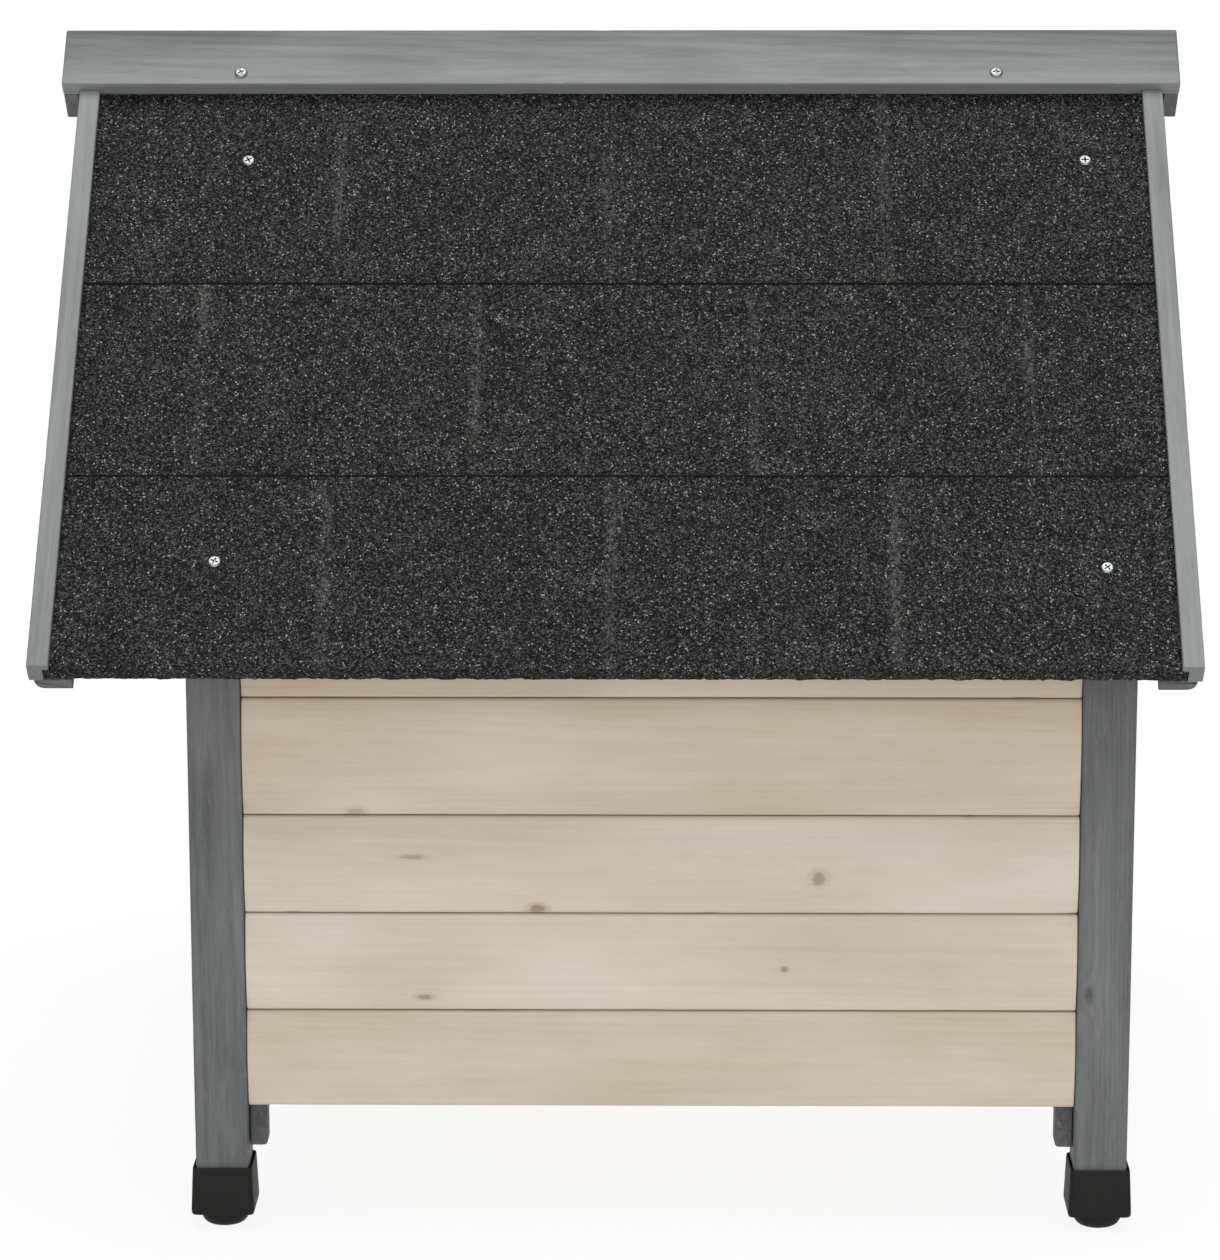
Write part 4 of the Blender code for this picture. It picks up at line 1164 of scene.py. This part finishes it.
class HUTCH_OT_verges(bpy.types.Operator):
    """Build the rebated strips along the verges and the battens under them"""

    bl_idname = "hutch.verges"
    bl_label = "Verges"

    def execute(self, context):
        wood = finish("grey_stained_spruce")
        inner = VERGE_OUTER - VERGE_WEB
        lip = FELT_TOP + GAP
        strip = [(inner, 0.0), (VERGE_OUTER, 0.0), (VERGE_OUTER, VERGE_DEPTH),
                 (inner - VERGE_LIP, VERGE_DEPTH), (inner - VERGE_LIP, lip), (inner, lip)]
        strip_section = rounded(strip, VERGE_ARRIS)
        batten = rectangle(BATTEN_OUTER - BATTEN_WIDTH, BATTEN_OUTER, -GAP - BATTEN_DEPTH,
                           -GAP)
        batten_section = rounded(batten, 0.0008, steps=5, radii={1: BATTEN_ROUND})
        seed = 80.0
        for hand, side in HANDS:
            for name, end in (("front", -1), ("rear", 1)):
                place = f"{name}_{hand}"

                def spot(down, x, out, end=end, side=side):
                    return (end * x, *slope_point(side, down, out))

                stock = Stock()
                timber(stock, strip_section, lambda a, d: RIDGE_EDGE + GAP, lambda a, d: EAVE,
                       spot, seed, (), VERGE_TONE, ease=0.0003,
                       grain=lambda s, a, d: (s, a - VERGE_OUTER, d))
                stock.make(f"{place}_verge_strip", wood, "house",
                           [f"verge_strip_{place}"])
                stock = Stock()
                timber(stock, batten_section, lambda a, d: mitre(d), lambda a, d: EAVE, spot,
                       seed + 0.5, (), BATTEN_TONE,
                       grain=lambda s, a, d: (s, a - BATTEN_OUTER, d))
                stock.make(f"{place}_verge_batten", wood, "house",
                           [f"verge_batten_{place}"])
                seed += 1.0
        return {"FINISHED"}


class HUTCH_OT_ridge(bpy.types.Operator):
    """Build the two ridge boards and the plate under each of their ends"""

    bl_idname = "hutch.ridge"
    bl_label = "Ridge"

    def execute(self, context):
        wood = finish("grey_stained_spruce")
        for number, (hand, side) in enumerate(HANDS):
            begin = -RIDGE_OUTER if side < 0 else -RIDGE_UNDER + GAP
            section = rounded(rectangle(begin, RIDGE_EDGE, RIDGE_UNDER, RIDGE_OUTER), 0.0013)
            stock = Stock()
            # The ridge board's tone is painted shade across its face: darker at the ridge, paler
            # towards its lower edge
            timber(stock, section, lambda a, d: -RIDGE_HALF, lambda a, d: RIDGE_HALF,
                   lambda x, down, out: (x, *slope_point(side, down, out)),
                   90.0 + number, (), lambda a: RIDGE_SHADE_AT_RIDGE - RIDGE_SHADE_FADE * (a - begin), ease=0.0008,
                   step=0.006)
            stock.make(f"{hand}_ridge_board", wood, "house",
                       [f"ridge_board_{hand}"])
        out = RIDGE_UNDER - GAP
        edge = RIDGE_EDGE - 0.0005
        outline = [slope_point(1, -out, out), slope_point(1, edge, out),
                   slope_point(1, edge, out - END_PLATE_DROP),
                   slope_point(-1, edge, out - END_PLATE_DROP), slope_point(-1, edge, out)]
        section = rounded(outline, 0.0008)
        for number, name in enumerate(("front", "rear")):
            low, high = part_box(f"ridge_end_plate_{name}")
            stock = Stock()
            timber(stock, section, lambda a, d: low.x, lambda a, d: high.x,
                   lambda x, y, z: (x, y, z), 94.0 + number, (), END_PLATE_TONE,
                   grain=lambda x, y, z: (y, z, x))
            stock.make(f"{name}_ridge_end_plate", wood, "house",
                       [f"ridge_end_plate_{name}"])
        return {"FINISHED"}


class HUTCH_OT_door(bpy.types.Operator):
    """Build the door's stiles, rails and wire mesh, and the jambs beside it"""

    bl_idname = "hutch.door"
    bl_label = "Door"

    def execute(self, context):
        wood = finish("grey_stained_spruce")
        for number, (hand, side) in enumerate(HANDS):
            low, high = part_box(f"door_jamb_{hand}")
            section = rounded(rectangle(low.y, high.y, 0.0, high.x - low.x), DOOR_ARRIS)
            stock = Stock()
            timber(stock, section, lambda a, d: low.z, lambda a, d: high.z,
                   lambda z, y, d: (low.x + d, y, z), 101.0 + number, (), DOOR_TONE)
            stock.make(f"{hand}_door_jamb", wood, "house",
                       [f"door_jamb_{hand}"])

        low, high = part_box("door_frame")
        face = low.x
        ledge = DOOR_THICKNESS - REBATE_DEPTH
        bar = [(0.0, 0.0), (STILE, 0.0), (STILE, ledge), (STILE - REBATE, ledge),
               (STILE - REBATE, DOOR_THICKNESS), (0.0, DOOR_THICKNESS)]
        section = rounded(bar, DOOR_ARRIS, radii={3: 0.0, 4: 0.0})
        for number, (hand, side) in enumerate(HANDS):
            stock = Stock()
            edge = low.y if side < 0 else high.y
            timber(stock, section, lambda a, d: low.z, lambda a, d: high.z,
                   lambda z, a, d: (face + d, edge - side * a, z), 104.0 + number,
                   (), STILE_TONE)
            stock.make(f"{hand}_door_stile", wood, "door", ["door_frame"])
        reach = (high.y - low.y) / 2.0 - STILE - GAP / 2.0
        for number, (name, edge, way) in enumerate((("bottom", low.z, 1), ("top", high.z, -1))):
            stock = Stock()
            timber(stock, section, lambda a, d: -reach, lambda a, d: reach,
                   lambda y, a, d: (face + d, y, edge + way * a), 107.0 + number, (),
                   DOOR_TONE)
            stock.make(f"{name}_door_rail", wood, "door", ["door_frame"])

        fittings = context.scene.hutch_fittings
        radius = fittings.wire_radius
        low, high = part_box("door_mesh")
        stock = Stock()
        upright = low.x + radius
        crossing = upright + 1.8 * radius
        for number in range(MESH_COLUMNS):
            y = low.y + radius + (high.y - low.y - 2.0 * radius) * number / (MESH_COLUMNS - 1)
            tube(stock, ((upright, y, low.z), (upright, y, high.z)), radius)
        for number in range(MESH_ROWS):
            z = low.z + radius + (high.z - low.z - 2.0 * radius) * number / (MESH_ROWS - 1)
            tube(stock, ((crossing, low.y, z), (crossing, high.y, z)), radius)
        stock.make("door_wire_mesh", finish("galvanised_wire"), "door", ["door_mesh"],
                   60.0)

        stock = Stock()
        step = (high.z - low.z) / 5.0
        for side in (-1, 1):
            edge = side * (high.y - 0.0016)
            for number in range(6):
                z = min(max(low.z + step * number, low.z + 0.008), high.z - 0.008)
                staple(stock, (crossing + radius, edge, z))
        stock.make("door_mesh_staples", finish("galvanised_wire"), "door", (), 60.0)
        return {"FINISHED"}


def staple(stock, spot):
    """Adds an upright staple's crown across a wire, with its two legs driven in."""
    spot = Vector(spot)
    along = Vector((0.0, 0.0, 1.0))
    lift = Vector((0.0006, 0.0, 0.0))
    path = []
    for share in (-1.0, -0.98, -0.85, 0.0, 0.85, 0.98, 1.0):
        height = -2.6 if abs(share) == 1.0 else 0.0 if abs(share) > 0.9 else 1.0
        path.append(spot + along * (0.004 * share) + lift * height)
    tube(stock, path, 0.0004)


# Y and height from the piece's middle of the screws in each half of a hinge, and in the bolt
HINGE_SCREWS = ((0.0195, -0.0175), (0.0125, 0.0), (0.0195, 0.0175))
BOLT_SCREWS = ((-0.1343, -0.0093), (-0.1343, 0.0093), (-0.1116, -0.0093), (-0.1116, 0.0093))
KEEPER_SCREWS = ((-0.1612, -0.0080), (-0.1612, 0.0080))


class HUTCH_OT_hardware(bpy.types.Operator):
    """Finish the hinges and the sliding bolt, and drive their screws"""

    bl_idname = "hutch.hardware"
    bl_label = "Hinges and Bolt"

    def execute(self, context):
        names = [f"hinge_{part}_{height}" for height in ("lower", "upper")
                 for part in ("jamb_leaf", "door_leaf", "pin")]
        names += ["bolt_base", "bolt_keeper", "bolt_rod"]
        dress(names, "zinc_plated_steel", METAL_EASE)
        zinc = finish("zinc_plated_steel")
        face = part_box("bolt_base")[1].x - LEAF
        for piece, body, side in (("hinge_jamb_screws", "house", 1),
                                  ("hinge_door_screws", "door", -1)):
            stock = Stock()
            number = 0
            for height in ("lower", "upper"):
                low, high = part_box(f"hinge_jamb_leaf_{height}")
                middle = (low.z + high.z) / 2.0
                for shift, rise in HINGE_SCREWS:
                    screw(stock, (face, HINGE_Y + side * shift, middle + rise),
                          (-1.0, 0.0, 0.0), HINGE_SCREW, 0.4 + 1.3 * number, 0.22)
                    number += 1
            stock.make(piece, zinc, body, (), 40.0)
        for piece, body, node_name, spots in (
                ("bolt_screws", "door", "bolt_base", BOLT_SCREWS),
                ("keeper_screws", "house", "bolt_keeper", KEEPER_SCREWS)):
            low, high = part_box(node_name)
            middle = (low.z + high.z) / 2.0
            stock = Stock()
            for number, (y, rise) in enumerate(spots):
                screw(stock, (face, y, middle + rise), (-1.0, 0.0, 0.0), BOLT_SCREW,
                      0.2 + 0.9 * number, 0.22)
            stock.make(piece, zinc, body, (), 40.0)
        return {"FINISHED"}


# X and slope distance of the roof screws, and X of the ridge screws
ROOF_SCREWS = ((-0.2506, 0.0809), (0.3135, 0.0809), (-0.2553, 0.4071), (0.3118, 0.4111))
RIDGE_SCREWS = (-0.2582, 0.2555)


class HUTCH_OT_roof_screws(bpy.types.Operator):
    """Drive the screws through the felt and the ridge boards"""

    bl_idname = "hutch.roof_screws"
    bl_label = "Roof Screws"

    def execute(self, context):
        zinc = finish("zinc_plated_steel")
        radius = context.scene.hutch_fittings.screw_radius
        ridge_down = RIDGE_EDGE - 0.0095
        groups = (
            ("roof_screws", ROOF_SCREWS, FELT_TOP - 0.0003),
            ("ridge_screws", [(x, ridge_down) for x in RIDGE_SCREWS], RIDGE_OUTER),
        )
        for hand, side in HANDS:
            for name, spots, out in groups:
                stock = Stock()
                for number, (x, down) in enumerate(spots):
                    normal = (0.0, side * math.sin(PITCH), math.cos(PITCH))
                    screw(stock, (x, *slope_point(side, down, out)), normal, radius,
                          0.5 + 1.1 * number)
                stock.make(f"{hand}_{name}", zinc, "house", (), 40.0)
        return {"FINISHED"}


FLOOR_RADIUS = 40.0
CAMERA_PLACE = (0.0377, -3.1227, 1.0075)
CAMERA_TURN = (78.0, 0.1, 0.817)    # degrees
SENSOR_WIDTH = 36.0                 # mm


class HUTCH_OT_stage(bpy.types.Operator):
    """Set out the pale floor, the soft light and the camera"""

    bl_idname = "hutch.stage"
    bl_label = "Stage"

    def execute(self, context):
        scene = context.scene
        stage = scene.hutch_stage
        mesh = bpy.data.meshes.new("studio_floor")
        mesh.from_pydata([(x, y, 0.0) for x, y in circle(FLOOR_RADIUS, 64)], [], [list(range(64))])
        floor = bpy.data.objects.new("studio_floor", mesh)
        scene.collection.objects.link(floor)
        # A matt grey sheet on a light table: its glow makes it nearly white, and it still takes
        # the house's faint shadow.
        material, shader = new_material("pale_studio_paint")
        shader.inputs["Base Color"].default_value = stage.floor_colour
        shader.inputs["Roughness"].default_value = 0.85
        shader.inputs["Specular IOR Level"].default_value = 0.1
        shader.inputs["Emission Color"].default_value = (1.0, 1.0, 1.0, 1.0)
        shader.inputs["Emission Strength"].default_value = stage.floor_glow
        mesh.materials.append(material)

        for name, strength, tilt in (
                ("front_softbox", stage.key_strength, stage.key_tilt),
                ("overhead_softbox", stage.top_strength, stage.top_tilt)):
            sun = bpy.data.lights.new(name, "SUN")
            sun.energy = strength
            sun.angle = stage.light_size
            lamp = bpy.data.objects.new(name, sun)
            lamp.rotation_euler = (tilt, 0.0, 0.0)
            scene.collection.objects.link(lamp)

        world = bpy.data.worlds.new("white_room")
        scene.world = world
        world.use_nodes = True
        tree = world.node_tree
        tree.nodes.clear()
        path = node(tree, "LightPath")
        lit = node(tree, "Background", {"Strength": stage.room_strength})
        seen = node(tree, "Background", {"Strength": 1.0})
        for back in (lit, seen):
            back.inputs["Color"].default_value = (1.0, 1.0, 1.0, 1.0)
        mixed = node(tree, "MixShader",
                     {0: path.outputs["Is Camera Ray"], 1: lit.outputs[0], 2: seen.outputs[0]})
        node(tree, "OutputWorld", {"Surface": mixed.outputs[0]})

        camera = bpy.data.cameras.new("camera")
        camera.sensor_width = SENSOR_WIDTH
        camera.lens = stage.lens
        holder = bpy.data.objects.new("camera", camera)
        holder.location = CAMERA_PLACE
        holder.rotation_euler = [math.radians(turn) for turn in CAMERA_TURN]
        scene.collection.objects.link(holder)
        scene.camera = holder
        scene.view_settings.view_transform = "Standard"
        return {"FINISHED"}


OPERATORS = (
    HUTCH_OT_posts, HUTCH_OT_feet, HUTCH_OT_side_walls, HUTCH_OT_gables, HUTCH_OT_floor,
    HUTCH_OT_roof_panels, HUTCH_OT_felt, HUTCH_OT_verges, HUTCH_OT_ridge, HUTCH_OT_door,
    HUTCH_OT_hardware, HUTCH_OT_roof_screws, HUTCH_OT_stage,
)


class HUTCH_PT_panel(bpy.types.Panel):
    """Lists the hutch's pieces and settings in the sidebar."""

    bl_idname = "HUTCH_PT_panel"
    bl_label = "Rabbit Hutch"
    bl_space_type = "VIEW_3D"
    bl_region_type = "UI"
    bl_category = "Hutch"

    def draw(self, context):
        layout = self.layout
        for operator in OPERATORS:
            layout.operator(operator.bl_idname)
        for name in SETTINGS:
            group = getattr(context.scene, name)
            box = layout.box()
            for setting in group.__annotations__:
                box.prop(group, setting)


SETTINGS = {
    "hutch_timber": HutchTimberSettings,
    "hutch_roof": HutchRoofSettings,
    "hutch_fittings": HutchFittingSettings,
    "hutch_stage": HutchStageSettings,
}


def register():
    """Registers the settings, the operators and the panel."""
    for group in (*SETTINGS.values(), *OPERATORS, HUTCH_PT_panel):
        bpy.utils.register_class(group)
    for name, group in SETTINGS.items():
        setattr(bpy.types.Scene, name, bpy.props.PointerProperty(type=group))


def unregister():
    """Takes away what register added."""
    for name in SETTINGS:
        delattr(bpy.types.Scene, name)
    for group in (HUTCH_PT_panel, *reversed(OPERATORS), *SETTINGS.values()):
        bpy.utils.unregister_class(group)


def main():
    """Builds the hutch and its stage."""
    register()
    for operator in OPERATORS:
        area, name = operator.bl_idname.split(".")
        getattr(getattr(bpy.ops, area), name)()


if __name__ == "__main__":
    main()
